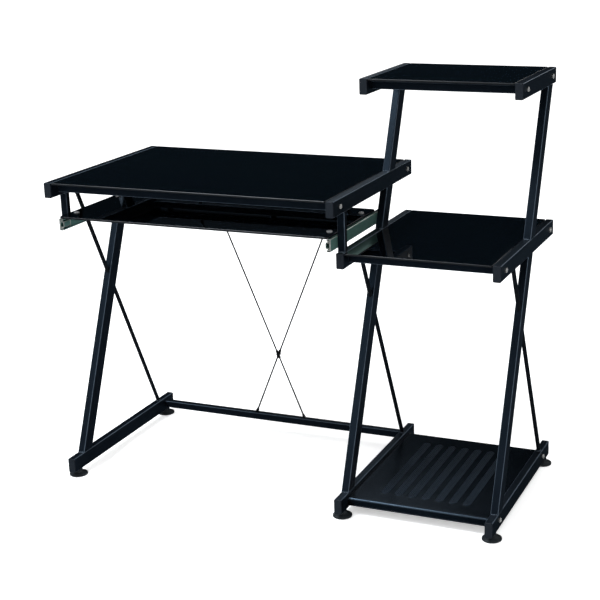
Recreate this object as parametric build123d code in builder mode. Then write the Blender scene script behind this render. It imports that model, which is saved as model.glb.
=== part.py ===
from build123d import *
import math
import os

# Computer desk with a sliding keyboard tray and a two-shelf side tower.
# X runs to the right, Y to the rear and Z up. The origin is on the floor, under the middle of the desk.
# Millimetres and degrees.

# ---- overall sizes ----
frame_depth = 494.0            # front to rear of the longest rails, end caps included
desk_span = 693.0              # clear width between the left and the middle side frame
tower_span = 338.0             # clear width between the middle and the right side frame
desk_height = 743.0            # top of the desk rails and of the desk glass
shelf_drop = 126.0             # top of the middle shelf below the top of the desk
top_rise = 234.0               # top of the top shelf above the top of the desk
shelf_setback = 50.0           # front of the middle shelf behind the front of the desk
top_setback = 207.0            # front of the top shelf behind the front of the desk

# ---- steel tube ----
tube_width = 18.0              # side frame tube, across the frame
tube_depth = 36.0              # side frame tube, its long side
cross_size = 18.0              # square tube of the cross rails
wall = 1.2
brace_diameter = 10.0
rod_diameter = 4.0

# ---- side frames ----
foot_gap = 15.0                # floor to the underside of the foot rails
leg_front_foot = 44.0          # front of the leg where it stands on the foot rail
leg_top_inset = 67.0           # front of the leg at the top rail, ahead of the rear of the frame
brace_foot_inset = 66.0        # middle of the brace on the foot rail, ahead of the rear of the frame
brace_front_desk = 115.0       # middle of the brace where it meets the desk rail
cap_thickness = 2.0
cap_plug = 8.0
cap_clearance = 0.05

# ---- cross rails and their bolts ----
front_rail_inset = 40.0        # middle of a front cross rail behind the front of its side rails
rear_rail_inset = 30.0         # middle of a rear cross rail ahead of the rear of its side rails
stretcher_inset = 36.0         # the same for the low rear stretcher
bolt_diameter = 6.0
bolt_play = 0.6
bolt_head_diameter = 11.0
bolt_head_height = 3.0
bolt_grip = 12.0               # thread inside the insert
insert_length = 16.0
thread_clearance = 0.05
insert_clearance = 0.05

# ---- glass ----
glass_thickness = 5.0
glass_side_gap = 1.0
glass_end_gap = 1.0
glass_corner = 3.0
pad_height = 4.0
pad_diameter = 14.0
pad_end_inset = 45.0           # middle of a pad in from the end of its cross rail

# ---- cross rods ----
rod_top_offset = 209.0         # rod end from the middle of the desk, at the desk's rear rail
rod_foot_offset = 71.0         # rod end from the middle of the desk, at the stretcher
rod_lap = 4.6                  # front to rear distance between the two rods
rod_entry = 5.0                # rod length inside the tube
rod_hole_clearance = 0.6
ferrule_diameter = 8.0
ferrule_length = 14.0
clip_width = 12.0
clip_height = 20.0
clip_clearance = 0.05

# ---- bottom shelf ----
pan_rise = 8.0                 # top of the bottom shelf above the middle of the foot rails
pan_front = 40.0
pan_rear_inset = 42.0
pan_height = 19.0
pan_sheet = 1.5
pan_nose_radius = 7.0
rib_count = 7
rib_pitch = 33.0
rib_width = 20.0
rib_height = 1.0
rib_margin = 48.0              # flat border ahead of and behind the ribs
pan_bolt_inset_front = 20.0
pan_bolt_inset_rear = 16.0
nut_flats = 10.0
nut_height = 5.0

# ---- levelling feet ----
foot_diameter = 45.0
foot_thickness = 6.0
foot_hub_diameter = 20.0
foot_end_inset = 28.0
stud_diameter = 8.0
stud_length = 22.0             # inside the foot rail
stud_clearance = 0.05
stud_play = 1.0
foot_nut_room = 2.6            # between the nut's flats and the inside of the tube, both sides together
foot_nut_height = 6.5

# ---- tray posts ----
post_depth = 15.0
post_front = 61.0

# ---- keyboard tray ----
tray_front = 18.0
tray_depth = 285.0
tray_drop = 52.0               # underside of the tray below the desk rails
tray_thickness = 5.0
tray_side_gap = 4.0
tray_corner = 8.0
tray_bolt_inset = 21.0         # bolt from the side frame's inner face
tray_bolt_front = 68.0
tray_bolt_rear = 255.0
tray_bolt_diameter = 6.0
tray_bolt_play = 1.0
tray_head_diameter = 14.0
tray_head_height = 3.6
tray_head_rim = 1.2
tray_bolt_below = 12.0
bracket_sheet = 1.5
bracket_front = 50.0
bracket_length = 230.0
bracket_reach = 32.0           # inner edge of the bracket's flange from the side frame
bracket_drop = 24.0
rivet_diameter = 4.0
rivet_head = 8.0
rivet_head_height = 0.8
rivet_inset = 30.0

# ---- telescopic slides ----
slide_front = 24.0
slide_past_leg = 18.0          # rear end of the slide behind the middle of the leg
slide_height = 29.0
slide_width = 12.7
slide_sheet = 1.2
slide_tray_gap = 1.0           # top of the slide below the tray glass
race_gap = 2.4                 # room for the ball race between two members
race_clearance = 0.3
middle_web = 2.0               # the middle member's web from the side frame
outer_reach = 10.5
middle_reach = 9.6
inner_reach = 4.6              # the inner member's free edges from the side frame
lip_height = 2.0
bumper_length = 4.0
screw_diameter = 4.8
screw_play = 0.4
screw_head_diameter = 8.0
screw_head_height = 0.6
screw_length = 10.0

# ---- worked out from the sizes above ----
frame_width = 3 * tube_width + desk_span + tower_span
left_x = -frame_width / 2
middle_x = left_x + tube_width + desk_span
right_x = middle_x + tube_width + tower_span
front_y = -frame_depth / 2
rear_y = frame_depth / 2
shelf_height = desk_height - shelf_drop
top_height = desk_height + top_rise
bolt_hole = bolt_diameter + bolt_play
stud_hole = stud_diameter + stud_play
tray_bolt_hole = tray_bolt_diameter + tray_bolt_play
screw_hole = screw_diameter + screw_play
foot_nut_flats = tube_width - 2 * wall - foot_nut_room
foot_top = foot_gap + tube_depth
desk_under = desk_height - tube_depth
tray_underside = desk_under - tray_drop
shelf_under = shelf_height - tube_depth
top_under = top_height - tube_depth
lean = (frame_depth - leg_top_inset - leg_front_foot) / (top_under - foot_top)
leg_run = tube_depth * math.hypot(1, lean)
brace_rear_foot = frame_depth - brace_foot_inset
brace_lean = (brace_front_desk - brace_rear_foot) / (desk_under - foot_top)
slide_top = tray_underside - slide_tray_gap
slide_middle_z = slide_top - slide_height / 2
foot_bolt_z = foot_gap + tube_depth / 2
pan_top = foot_bolt_z + pan_rise
pan_rear = frame_depth - pan_rear_inset
cross_drop = glass_thickness + pad_height + cross_size / 2
desk_middle_x = left_x + tube_width + desk_span / 2
tower_middle_x = middle_x + tube_width + tower_span / 2
stretcher_y = rear_y - stretcher_inset
pan_bolt_ys = (front_y + pan_front + pan_bolt_inset_front, front_y + pan_rear - pan_bolt_inset_rear)

os.makedirs("parts", exist_ok=True)


def save(piece, label):
    """Names a finished piece and writes its STEP file."""
    piece.label = label
    export_step(piece, f"parts/{label}.step")


def group(pieces, label):
    """Writes several alike solids as one named node."""
    save(Compound(children=pieces), label)


def leg_front(z):
    """Front face of a leg at the height z."""
    return front_y + leg_front_foot + lean * (z - foot_top)


def brace_y(z):
    """Middle of a brace at the height z."""
    return front_y + brace_rear_foot + brace_lean * (z - foot_top)


# ---- side frame tubes ----
def rail(label, x, front_gap, underside, side_holes, stud_ys=()):
    """A side rail that runs front to rear, open at both ends, with its bolt holes."""
    start = front_y + front_gap + cap_thickness
    length = rear_y - cap_thickness - start
    middle = (x + tube_width / 2, underside + tube_depth / 2)
    with BuildPart() as tube:
        with BuildSketch(Plane.XZ.offset(-start)):
            with Locations(middle):
                Rectangle(tube_width, tube_depth)
                Rectangle(tube_width - 2 * wall, tube_depth - 2 * wall, mode=Mode.SUBTRACT)
        extrude(amount=-length)
        for y, z, diameter in side_holes:
            with BuildSketch(Plane.YZ.offset(x)):
                with Locations((y, z)):
                    Circle(diameter / 2)
            extrude(amount=tube_width, mode=Mode.SUBTRACT)
        for y in stud_ys:
            with BuildSketch(Plane.XY.offset(underside)):
                with Locations((x + tube_width / 2, y)):
                    Circle(stud_hole / 2)
            extrude(amount=wall, mode=Mode.SUBTRACT)
    save(tube.part, label)


def leg(label, x, low, high, screw_face=None):
    """One straight length of a leaning leg, cut level at both ends."""
    skin = wall * math.hypot(1, lean)
    y0, y1 = leg_front(low), leg_front(high)
    with BuildPart() as tube:
        with BuildSketch(Plane.YZ.offset(x)):
            with BuildLine():
                Polyline((y0, low), (y0 + leg_run, low), (y1 + leg_run, high), (y1, high), close=True)
            make_face()
        extrude(amount=tube_width)
        with BuildSketch(Plane.YZ.offset(x + wall)):
            with BuildLine():
                Polyline((y0 + skin, low), (y0 + leg_run - skin, low),
                         (y1 + leg_run - skin, high), (y1 + skin, high), close=True)
            make_face()
        extrude(amount=tube_width - 2 * wall, mode=Mode.SUBTRACT)
        if screw_face is not None:
            with BuildSketch(Plane.YZ.offset(screw_face)):
                with Locations((screw_ys[1], slide_middle_z)):
                    Circle(screw_hole / 2)
            extrude(amount=wall, both=True, mode=Mode.SUBTRACT)
    save(tube.part, label)


def post(label, x, low, screw_face):
    """An upright tube under the desk rail that carries the front of a slide."""
    middle = (x + tube_width / 2, front_y + post_front + post_depth / 2)
    with BuildPart() as tube:
        with BuildSketch(Plane.XY.offset(low)):
            with Locations(middle):
                Rectangle(tube_width, post_depth)
                Rectangle(tube_width - 2 * wall, post_depth - 2 * wall, mode=Mode.SUBTRACT)
        extrude(amount=desk_under - low)
        with BuildSketch(Plane.YZ.offset(screw_face)):
            with Locations((screw_ys[0], slide_middle_z)):
                Circle(screw_hole / 2)
        extrude(amount=wall, both=True, mode=Mode.SUBTRACT)
    save(tube.part, label)


def brace_length(x, low, high, leg_side):
    """The length of a round brace on one side of its leg, cut by the level rails and by the leg."""
    middle = x + tube_width / 2
    start = Vector(middle, brace_y(low - brace_diameter), low - brace_diameter)
    end = Vector(middle, brace_y(high + brace_diameter), high + brace_diameter)
    edge, far = (leg_run, -2 * frame_depth) if leg_side == "rear" else (0.0, 2 * frame_depth)
    with BuildPart() as bar:
        with BuildSketch(Plane(origin=start, z_dir=end - start)):
            Circle(brace_diameter / 2)
        extrude(amount=(end - start).length)
        split(bisect_by=Plane.XY.offset(low), keep=Keep.TOP)
        split(bisect_by=Plane.XY.offset(high), keep=Keep.BOTTOM)
        with BuildSketch(Plane.YZ.offset(x)):
            with BuildLine():
                Polyline((leg_front(low) + edge, low), (leg_front(high) + edge, high),
                         (leg_front(high) + edge + far, high), (leg_front(low) + edge + far, low), close=True)
            make_face()
        extrude(amount=tube_width, mode=Mode.SUBTRACT)
    return bar.part


screw_ys = (front_y + post_front + post_depth / 2, leg_front(slide_middle_z) + leg_run / 2)
slide_length = screw_ys[1] + slide_past_leg - front_y - slide_front
front_rail_y = {"desk": front_y + front_rail_inset,
                "shelf": front_y + shelf_setback + front_rail_inset,
                "top": front_y + top_setback + front_rail_inset}
rear_rail_y = rear_y - rear_rail_inset
level_top = {"desk": desk_height, "shelf": shelf_height, "top": top_height}
setback = {"desk": 0.0, "shelf": shelf_setback, "top": top_setback}
foot_ys = (front_y + foot_end_inset, rear_y - foot_end_inset)
stretcher_hole = [(stretcher_y, foot_bolt_z, bolt_hole)]
pan_holes = [(y, foot_bolt_z, bolt_hole) for y in pan_bolt_ys]


def level_holes(level):
    """Bolt holes of one level's side rails."""
    z = level_top[level] - cross_drop
    return [(front_rail_y[level], z, bolt_hole), (rear_rail_y, z, bolt_hole)]


for side, x in (("left", left_x), ("middle", middle_x)):
    rail(f"{side}_desk_rail", x, setback["desk"], desk_under, level_holes("desk"))
for side, x in (("middle", middle_x), ("right", right_x)):
    rail(f"{side}_shelf_rail", x, setback["shelf"], shelf_under, level_holes("shelf"))
    rail(f"{side}_top_rail", x, setback["top"], top_under, level_holes("top"))
rail("left_foot_rail", left_x, 0, foot_gap, stretcher_hole, foot_ys)
rail("middle_foot_rail", middle_x, 0, foot_gap, stretcher_hole + pan_holes, foot_ys)
rail("right_foot_rail", right_x, 0, foot_gap, pan_holes, foot_ys)

leg("left_leg", left_x, foot_top, desk_under, screw_face=left_x + tube_width)
leg("middle_lower_leg", middle_x, foot_top, shelf_under)
leg("middle_leg_link", middle_x, shelf_height, desk_under, screw_face=middle_x)
leg("middle_upper_leg", middle_x, desk_height, top_under)
leg("right_lower_leg", right_x, foot_top, shelf_under)
leg("right_upper_leg", right_x, shelf_height, top_under)

post("left_tray_post", left_x, slide_top - slide_height, left_x + tube_width)
post("middle_tray_post", middle_x, shelf_height, middle_x)

brace_tops = {"left": (left_x, desk_under), "middle": (middle_x, shelf_under),
              "right": (right_x, shelf_under)}
for side, (x, upper) in brace_tops.items():
    group([brace_length(x, foot_top, upper, leg_side) for leg_side in ("rear", "front")], f"{side}_brace")


# ---- end caps ----
def end_cap(x, y, underside, inward):
    """A plastic cap with a hollow plug that closes one end of a rail; inward is +1 at the front end."""
    middle = (x + tube_width / 2, underside + tube_depth / 2)
    inner_x = tube_width - 2 * wall - 2 * cap_clearance
    inner_z = tube_depth - 2 * wall - 2 * cap_clearance
    with BuildPart() as cap:
        with BuildSketch(Plane.XZ.offset(-y)):
            with Locations(middle):
                Rectangle(tube_width, tube_depth)
        extrude(amount=-inward * cap_thickness)
        outer_face = cap.faces().filter_by(Axis.Y).sort_by(Axis.Y)[0 if inward > 0 else -1]
        chamfer(outer_face.edges(), length=cap_thickness / 3)
        with BuildSketch(Plane.XZ.offset(-(y + inward * cap_thickness))):
            with Locations(middle):
                Rectangle(inner_x, inner_z)
                Rectangle(inner_x - 3 * wall, inner_z - 3 * wall, mode=Mode.SUBTRACT)
        extrude(amount=-inward * cap_plug)
    return cap.part


desk_rail_end = (setback["desk"], desk_under)
foot_rail_end = (0, foot_gap)
tower_rail_ends = [(setback["shelf"], shelf_under), (setback["top"], top_under)]
end_caps = []
for x, rail_ends in ((left_x, [desk_rail_end, foot_rail_end]),
                     (middle_x, [desk_rail_end, foot_rail_end] + tower_rail_ends),
                     (right_x, [foot_rail_end] + tower_rail_ends)):
    for rail_setback, underside in rail_ends:
        end_caps.append(end_cap(x, front_y + rail_setback, underside, 1))
        end_caps.append(end_cap(x, rear_y, underside, -1))
group(end_caps, "rail_end_caps")


# ---- cross rails ----
def rod_axis(sign, top_z, foot_z):
    """End points of a cross rod: sign -1 leans from the upper left, +1 from the upper right."""
    shift = sign * rod_lap / 2
    top = Vector(desk_middle_x + sign * rod_top_offset, rear_rail_y + shift, top_z)
    foot = Vector(desk_middle_x - sign * rod_foot_offset, stretcher_y + shift, foot_z)
    return top, foot


rod_top_z = desk_height - cross_drop - cross_size / 2
rod_foot_z = foot_bolt_z + cross_size / 2


def cross_rail(label, x, span, y, z, rod_end=None):
    """A square tube between two side frames; rod_end cuts the holes that take the cross rods."""
    with BuildPart() as tube:
        with BuildSketch(Plane.YZ.offset(x)):
            with Locations((y, z)):
                Rectangle(cross_size, cross_size)
                Rectangle(cross_size - 2 * wall, cross_size - 2 * wall, mode=Mode.SUBTRACT)
        extrude(amount=span)
        if rod_end:
            for sign in (-1, 1):
                top, foot = rod_axis(sign, rod_top_z, rod_foot_z)
                end, way = (top, top - foot) if rod_end == "top" else (foot, foot - top)
                start = end - way.normalized() * 2 * wall
                with BuildSketch(Plane(origin=start, z_dir=way)):
                    Circle(rod_diameter / 2 + rod_hole_clearance)
                extrude(amount=6 * wall, mode=Mode.SUBTRACT)
    save(tube.part, label)


desk_left = left_x + tube_width
tower_left = middle_x + tube_width
spans = {"desk": (desk_left, desk_span), "shelf": (tower_left, tower_span), "top": (tower_left, tower_span)}
for level, (x, span) in spans.items():
    z = level_top[level] - cross_drop
    cross_rail(f"{level}_front_rail", x, span, front_rail_y[level], z)
    cross_rail(f"{level}_rear_rail", x, span, rear_rail_y, z, "top" if level == "desk" else None)
cross_rail("rear_stretcher", desk_left, desk_span, stretcher_y, foot_bolt_z, "foot")


# ---- bolts and threaded inserts of the cross rails ----
def insert(x, y, z, inward):
    """A threaded plug in the end of a cross rail; inward is +1 at its left end."""
    side = cross_size - 2 * wall - 2 * insert_clearance
    with BuildPart() as plug:
        with BuildSketch(Plane.YZ.offset(x)):
            with Locations((y, z)):
                Rectangle(side, side)
                Circle(bolt_diameter / 2 + thread_clearance, mode=Mode.SUBTRACT)
        extrude(amount=inward * insert_length)
    return plug.part


def dome_bolt(x, y, z, inward, length):
    """A dome-headed hex-socket bolt along X with its head on the face x; inward is the shank's way."""
    with BuildPart() as bolt:
        with BuildSketch(Plane.YZ.offset(x)):
            with Locations((y, z)):
                Circle(bolt_diameter / 2)
        extrude(amount=inward * length)
        with BuildSketch(Plane.YZ.offset(x)):
            with Locations((y, z)):
                Circle(bolt_head_diameter / 2)
        extrude(amount=-inward * bolt_head_height)
        rim = bolt.edges().filter_by(GeomType.CIRCLE).sort_by(Axis.X)[0 if inward > 0 else -1]
        fillet(rim, bolt_head_height * 0.7)
        with BuildSketch(Plane.YZ.offset(x - inward * bolt_head_height)):
            with Locations((y, z)):
                RegularPolygon(bolt_diameter / 3, 6)
        extrude(amount=inward * bolt_head_height / 2, mode=Mode.SUBTRACT)
    return bolt.part


def hex_nut(plane, flats, height, bore):
    """A plain hex nut that stands on a plane."""
    with BuildPart() as nut:
        with BuildSketch(plane):
            RegularPolygon(flats / 2, 6, major_radius=False)
            Circle(bore / 2, mode=Mode.SUBTRACT)
        extrude(amount=height)
    return nut.part


cross_ends = [(x, span, y, level_top[level] - cross_drop)
              for level, (x, span) in spans.items() for y in (front_rail_y[level], rear_rail_y)]
cross_ends.append((desk_left, desk_span, stretcher_y, foot_bolt_z))
frame_bolts = []
cross_inserts = []
for x, span, y, z in cross_ends:
    for end, inward in ((x, 1), (x + span, -1)):
        cross_inserts.append(insert(end, y, z, inward))
        frame_bolts.append(dome_bolt(end - inward * tube_width, y, z, inward, tube_width + bolt_grip))
group(cross_inserts, "cross_rail_inserts")


# ---- cross rods and their clip ----
def cross_rod(label, sign):
    """A thin round rod with a tapered ferrule where it enters the tube at each end."""
    top, foot = rod_axis(sign, rod_top_z, rod_foot_z)
    way = (top - foot).normalized()
    with BuildPart() as rod:
        with BuildSketch(Plane(origin=foot - way * rod_entry, z_dir=way)):
            Circle(rod_diameter / 2)
        extrude(amount=(top - foot).length + 2 * rod_entry)
        for end, inward in ((foot, way), (top, -way)):
            with BuildSketch(Plane(origin=end - inward * ferrule_diameter, z_dir=inward)):
                Circle(ferrule_diameter / 2)
            extrude(amount=ferrule_diameter + ferrule_length / 2)
            with BuildSketch(Plane(origin=end + inward * ferrule_length / 2, z_dir=inward)) as low:
                Circle(ferrule_diameter / 2)
            with BuildSketch(Plane(origin=end + inward * ferrule_length, z_dir=inward)) as high:
                Circle(rod_diameter / 2)
            loft(sections=[low.sketch, high.sketch])
    middle = split(rod.part, bisect_by=Plane.XY.offset(rod_foot_z), keep=Keep.TOP)
    middle = split(middle, bisect_by=Plane.XY.offset(rod_top_z), keep=Keep.BOTTOM)
    with BuildPart() as core:
        add(middle)
        with BuildSketch(Plane(origin=foot - way * rod_entry, z_dir=way)):
            Circle(rod_diameter / 2)
        extrude(amount=(top - foot).length + 2 * rod_entry)
    save(core.part, label)


cross_rod("left_cross_rod", -1)
cross_rod("right_cross_rod", 1)

rod_top, rod_foot = rod_axis(-1, rod_top_z, rod_foot_z)
crossing = rod_top_offset / (rod_top_offset + rod_foot_offset)
crossing_z = rod_top_z - crossing * (rod_top_z - rod_foot_z)
crossing_y = rear_rail_y + crossing * (stretcher_y - rear_rail_y)
with BuildPart() as rod_clip:
    with BuildSketch(Plane.XZ.offset(-(crossing_y - rod_lap / 2 - rod_diameter / 2 - wall))):
        with Locations((desk_middle_x, crossing_z)):
            Rectangle(clip_width, clip_height)
    extrude(amount=-(rod_lap + rod_diameter + 2 * wall))
    fillet(rod_clip.edges().filter_by(Axis.Y), 2.0)
    for sign in (-1, 1):
        top, foot = rod_axis(sign, rod_top_z, rod_foot_z)
        with BuildSketch(Plane(origin=foot, z_dir=top - foot)):
            Circle(rod_diameter / 2 + clip_clearance)
        extrude(amount=(top - foot).length, mode=Mode.SUBTRACT)
save(rod_clip.part, "rod_clip")


# ---- glass and its pads ----
def glass_sheet(label, x, span, level):
    """A tempered glass sheet that lies between two side rails, flush with their tops."""
    depth = frame_depth - setback[level] - 2 * glass_end_gap
    middle = (x + span / 2, front_y + setback[level] + glass_end_gap + depth / 2)
    with BuildPart() as sheet:
        with BuildSketch(Plane.XY.offset(level_top[level] - glass_thickness)):
            with Locations(middle):
                RectangleRounded(span - 2 * glass_side_gap, depth, glass_corner)
        extrude(amount=glass_thickness)
        chamfer(sheet.faces().filter_by(Axis.Z).edges(), length=0.5)
    save(sheet.part, label)


glass_pads = []
for level, (x, span) in spans.items():
    glass_sheet(f"{level}_glass", x, span, level)
    for y in (front_rail_y[level], rear_rail_y):
        for pad_x in (x + pad_end_inset, x + span / 2, x + span - pad_end_inset):
            with BuildPart() as pad:
                with BuildSketch(Plane.XY.offset(level_top[level] - glass_thickness - pad_height)):
                    with Locations((pad_x, y)):
                        Circle(pad_diameter / 2)
                extrude(amount=pad_height)
            glass_pads.append(pad.part)
group(glass_pads, "glass_pads")


# ---- bottom shelf ----
pan_middle_y = front_y + (pan_front + pan_rear) / 2
pan_depth = pan_rear - pan_front
rib_length = pan_depth - 2 * rib_margin
with BuildPart() as bottom_shelf:
    with BuildSketch(Plane.XY.offset(pan_top - pan_height)):
        with Locations((tower_middle_x, pan_middle_y)):
            Rectangle(tower_span, pan_depth)
    extrude(amount=pan_height)
    nose = bottom_shelf.edges().filter_by(Axis.X).group_by(Axis.Z)[-1].sort_by(Axis.Y)[0]
    fillet(nose, pan_nose_radius)
    with BuildSketch(Plane.XY.offset(pan_top - pan_height)):
        with Locations((tower_middle_x, pan_middle_y)):
            Rectangle(tower_span - 2 * pan_sheet, pan_depth - 2 * pan_sheet)
    extrude(amount=pan_height - pan_sheet - pan_nose_radius, mode=Mode.SUBTRACT)
    with BuildSketch(Plane.YZ.offset(tower_left + pan_sheet)):
        y_in = front_y + pan_front + pan_sheet
        nose_in = pan_nose_radius - pan_sheet
        z_low = pan_top - pan_nose_radius - 2 * pan_sheet
        z_high = pan_top - pan_sheet
        with BuildLine():
            Line((y_in, z_low), (y_in, z_high - nose_in))
            RadiusArc((y_in, z_high - nose_in), (y_in + nose_in, z_high), nose_in)
            Polyline((y_in + nose_in, z_high), (front_y + pan_rear - pan_sheet, z_high),
                     (front_y + pan_rear - pan_sheet, z_low), (y_in, z_low))
        make_face()
    extrude(amount=tower_span - 2 * pan_sheet, mode=Mode.SUBTRACT)
    with BuildSketch(Plane.XY.offset(pan_top)):
        with Locations((tower_middle_x, pan_middle_y)):
            with GridLocations(rib_pitch, 1, rib_count, 1):
                SlotOverall(rib_length, rib_width, rotation=90)
    extrude(amount=rib_height, taper=30)
    with BuildSketch(Plane.XY.offset(pan_top - pan_sheet)):
        with Locations((tower_middle_x, pan_middle_y)):
            with GridLocations(rib_pitch, 1, rib_count, 1):
                SlotOverall(rib_length - 2 * pan_sheet, rib_width - 2 * pan_sheet, rotation=90)
    extrude(amount=rib_height, taper=30, mode=Mode.SUBTRACT)
    for y in pan_bolt_ys:
        with BuildSketch(Plane.YZ.offset(tower_left)):
            with Locations((y, foot_bolt_z)):
                Circle(bolt_hole / 2)
        extrude(amount=tower_span, mode=Mode.SUBTRACT)
save(bottom_shelf.part, "bottom_shelf")

frame_nuts = []
for y in pan_bolt_ys:
    for face, inward in ((middle_x, 1), (right_x + tube_width, -1)):
        grip = tube_width + pan_sheet + nut_height + 2
        seat = face + inward * (tube_width + pan_sheet)
        nut_plane = Plane(origin=(seat, y, foot_bolt_z), x_dir=(0, 1, 0), z_dir=(inward, 0, 0))
        frame_bolts.append(dome_bolt(face, y, foot_bolt_z, inward, grip))
        frame_nuts.append(hex_nut(nut_plane, nut_flats, nut_height, bolt_diameter + 2 * thread_clearance))
group(frame_bolts, "frame_bolts")


# ---- levelling feet ----
def levelling_foot(label, x, y):
    """A round foot with a hub that meets the rail and a threaded stud inside it."""
    with BuildPart() as foot:
        with BuildSketch(Plane.XY):
            with Locations((x, y)):
                Circle(foot_diameter / 2)
        extrude(amount=foot_thickness)
        chamfer(foot.edges().filter_by(GeomType.CIRCLE).sort_by(Axis.Z)[-1], length=foot_thickness / 3)
        with BuildSketch(Plane.XY.offset(foot_thickness)):
            with Locations((x, y)):
                Circle(foot_hub_diameter / 2)
        extrude(amount=foot_gap - foot_thickness)
        with BuildSketch(Plane.XY.offset(foot_gap)):
            with Locations((x, y)):
                Circle(stud_diameter / 2)
        extrude(amount=stud_length)
    save(foot.part, label)


for side, x in (("left", left_x), ("middle", middle_x), ("right", right_x)):
    foot_x = x + tube_width / 2
    for end, y in zip(("front", "rear"), foot_ys):
        levelling_foot(f"{side}_{end}_foot", foot_x, y)
        nut_plane = Plane.XY.offset(foot_gap + wall).shift_origin((foot_x, y, foot_gap + wall))
        bore = stud_diameter + 2 * stud_clearance
        frame_nuts.append(hex_nut(nut_plane, foot_nut_flats, foot_nut_height, bore))
group(frame_nuts, "frame_nuts")


# ---- keyboard tray ----
tray_middle_y = front_y + tray_front + tray_depth / 2
tray_top = tray_underside + tray_thickness
inner_faces = ((left_x + tube_width, 1), (middle_x, -1))
tray_bolt_ys = (front_y + tray_bolt_front, front_y + tray_bolt_rear)
tray_bolt_places = [(face + way * tray_bolt_inset, y) for face, way in inner_faces for y in tray_bolt_ys]

with BuildPart() as tray_glass:
    with BuildSketch(Plane.XY.offset(tray_underside)):
        with Locations((desk_middle_x, tray_middle_y)):
            RectangleRounded(desk_span - 2 * tray_side_gap, tray_depth, tray_corner)
        with Locations(*tray_bolt_places):
            Circle(tray_bolt_hole / 2, mode=Mode.SUBTRACT)
    extrude(amount=tray_thickness)
save(tray_glass.part, "tray_glass")

tray_bolts = []
tray_nuts = []
for x, y in tray_bolt_places:
    with BuildPart() as tray_bolt:
        with BuildSketch(Plane.XY.offset(tray_underside - tray_bolt_below)):
            with Locations((x, y)):
                Circle(tray_bolt_diameter / 2)
        extrude(amount=tray_bolt_below + tray_thickness)
        dome = tray_head_height - tray_head_rim
        dome_radius = (tray_head_diameter ** 2 / 4 + dome ** 2) / (2 * dome)
        with BuildSketch(Plane.XY.offset(tray_top)):
            with Locations((x, y)):
                Circle(tray_head_diameter / 2)
        extrude(amount=tray_head_rim)
        with BuildSketch(Plane.XZ.offset(-y)):
            with BuildLine():
                Line((x, tray_top + tray_head_rim), (x + tray_head_diameter / 2, tray_top + tray_head_rim))
                RadiusArc((x + tray_head_diameter / 2, tray_top + tray_head_rim),
                          (x, tray_top + tray_head_height), -dome_radius)
                Line((x, tray_top + tray_head_height), (x, tray_top + tray_head_rim))
            make_face()
        revolve(axis=Axis((x, y, tray_top), (0, 0, 1)))
    tray_bolts.append(tray_bolt.part)
    nut_z = tray_underside - bracket_sheet - nut_height
    nut_plane = Plane(origin=(x, y, nut_z), x_dir=(0, 1, 0), z_dir=(0, 0, 1))
    tray_nuts.append(hex_nut(nut_plane, nut_flats, nut_height, tray_bolt_diameter + 2 * thread_clearance))
group(tray_bolts, "tray_bolts")
group(tray_nuts, "tray_nuts")


# ---- telescopic slides and tray brackets ----
rivet_ys = (front_y + bracket_front + rivet_inset, front_y + bracket_front + bracket_length - rivet_inset)
member_length = slide_length - bumper_length
outer_half = slide_height / 2
middle_half = outer_half - slide_sheet - race_gap
inner_half = middle_half - slide_sheet - race_gap


def strip(face, way, near, far, low, high, start, length):
    """A straight bar along Y; near and far are distances from a side frame's inner face."""
    with BuildPart() as bar:
        with BuildSketch(Plane.XZ.offset(-start)):
            with Locations((face + way * (near + far) / 2, slide_middle_z + (low + high) / 2)):
                Rectangle(far - near, high - low)
        extrude(amount=-length)
    return bar.part


def channel(face, way, web, edge, half, length, lips=False):
    """A folded channel along Y: its web lies at web, its free edges at edge."""
    inward = 1 if edge > web else -1
    near, far = sorted((web, edge))
    start = front_y + slide_front
    with BuildPart() as member:
        add(strip(face, way, *sorted((web, web + inward * slide_sheet)), -half, half, start, length))
        add(strip(face, way, near, far, half - slide_sheet, half, start, length))
        add(strip(face, way, near, far, -half, slide_sheet - half, start, length))
        if lips:
            add(strip(face, way, far - slide_sheet, far, half - slide_sheet - lip_height, half, start,
                      length))
            add(strip(face, way, far - slide_sheet, far, -half, lip_height + slide_sheet - half, start,
                      length))
    return member.part


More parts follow.
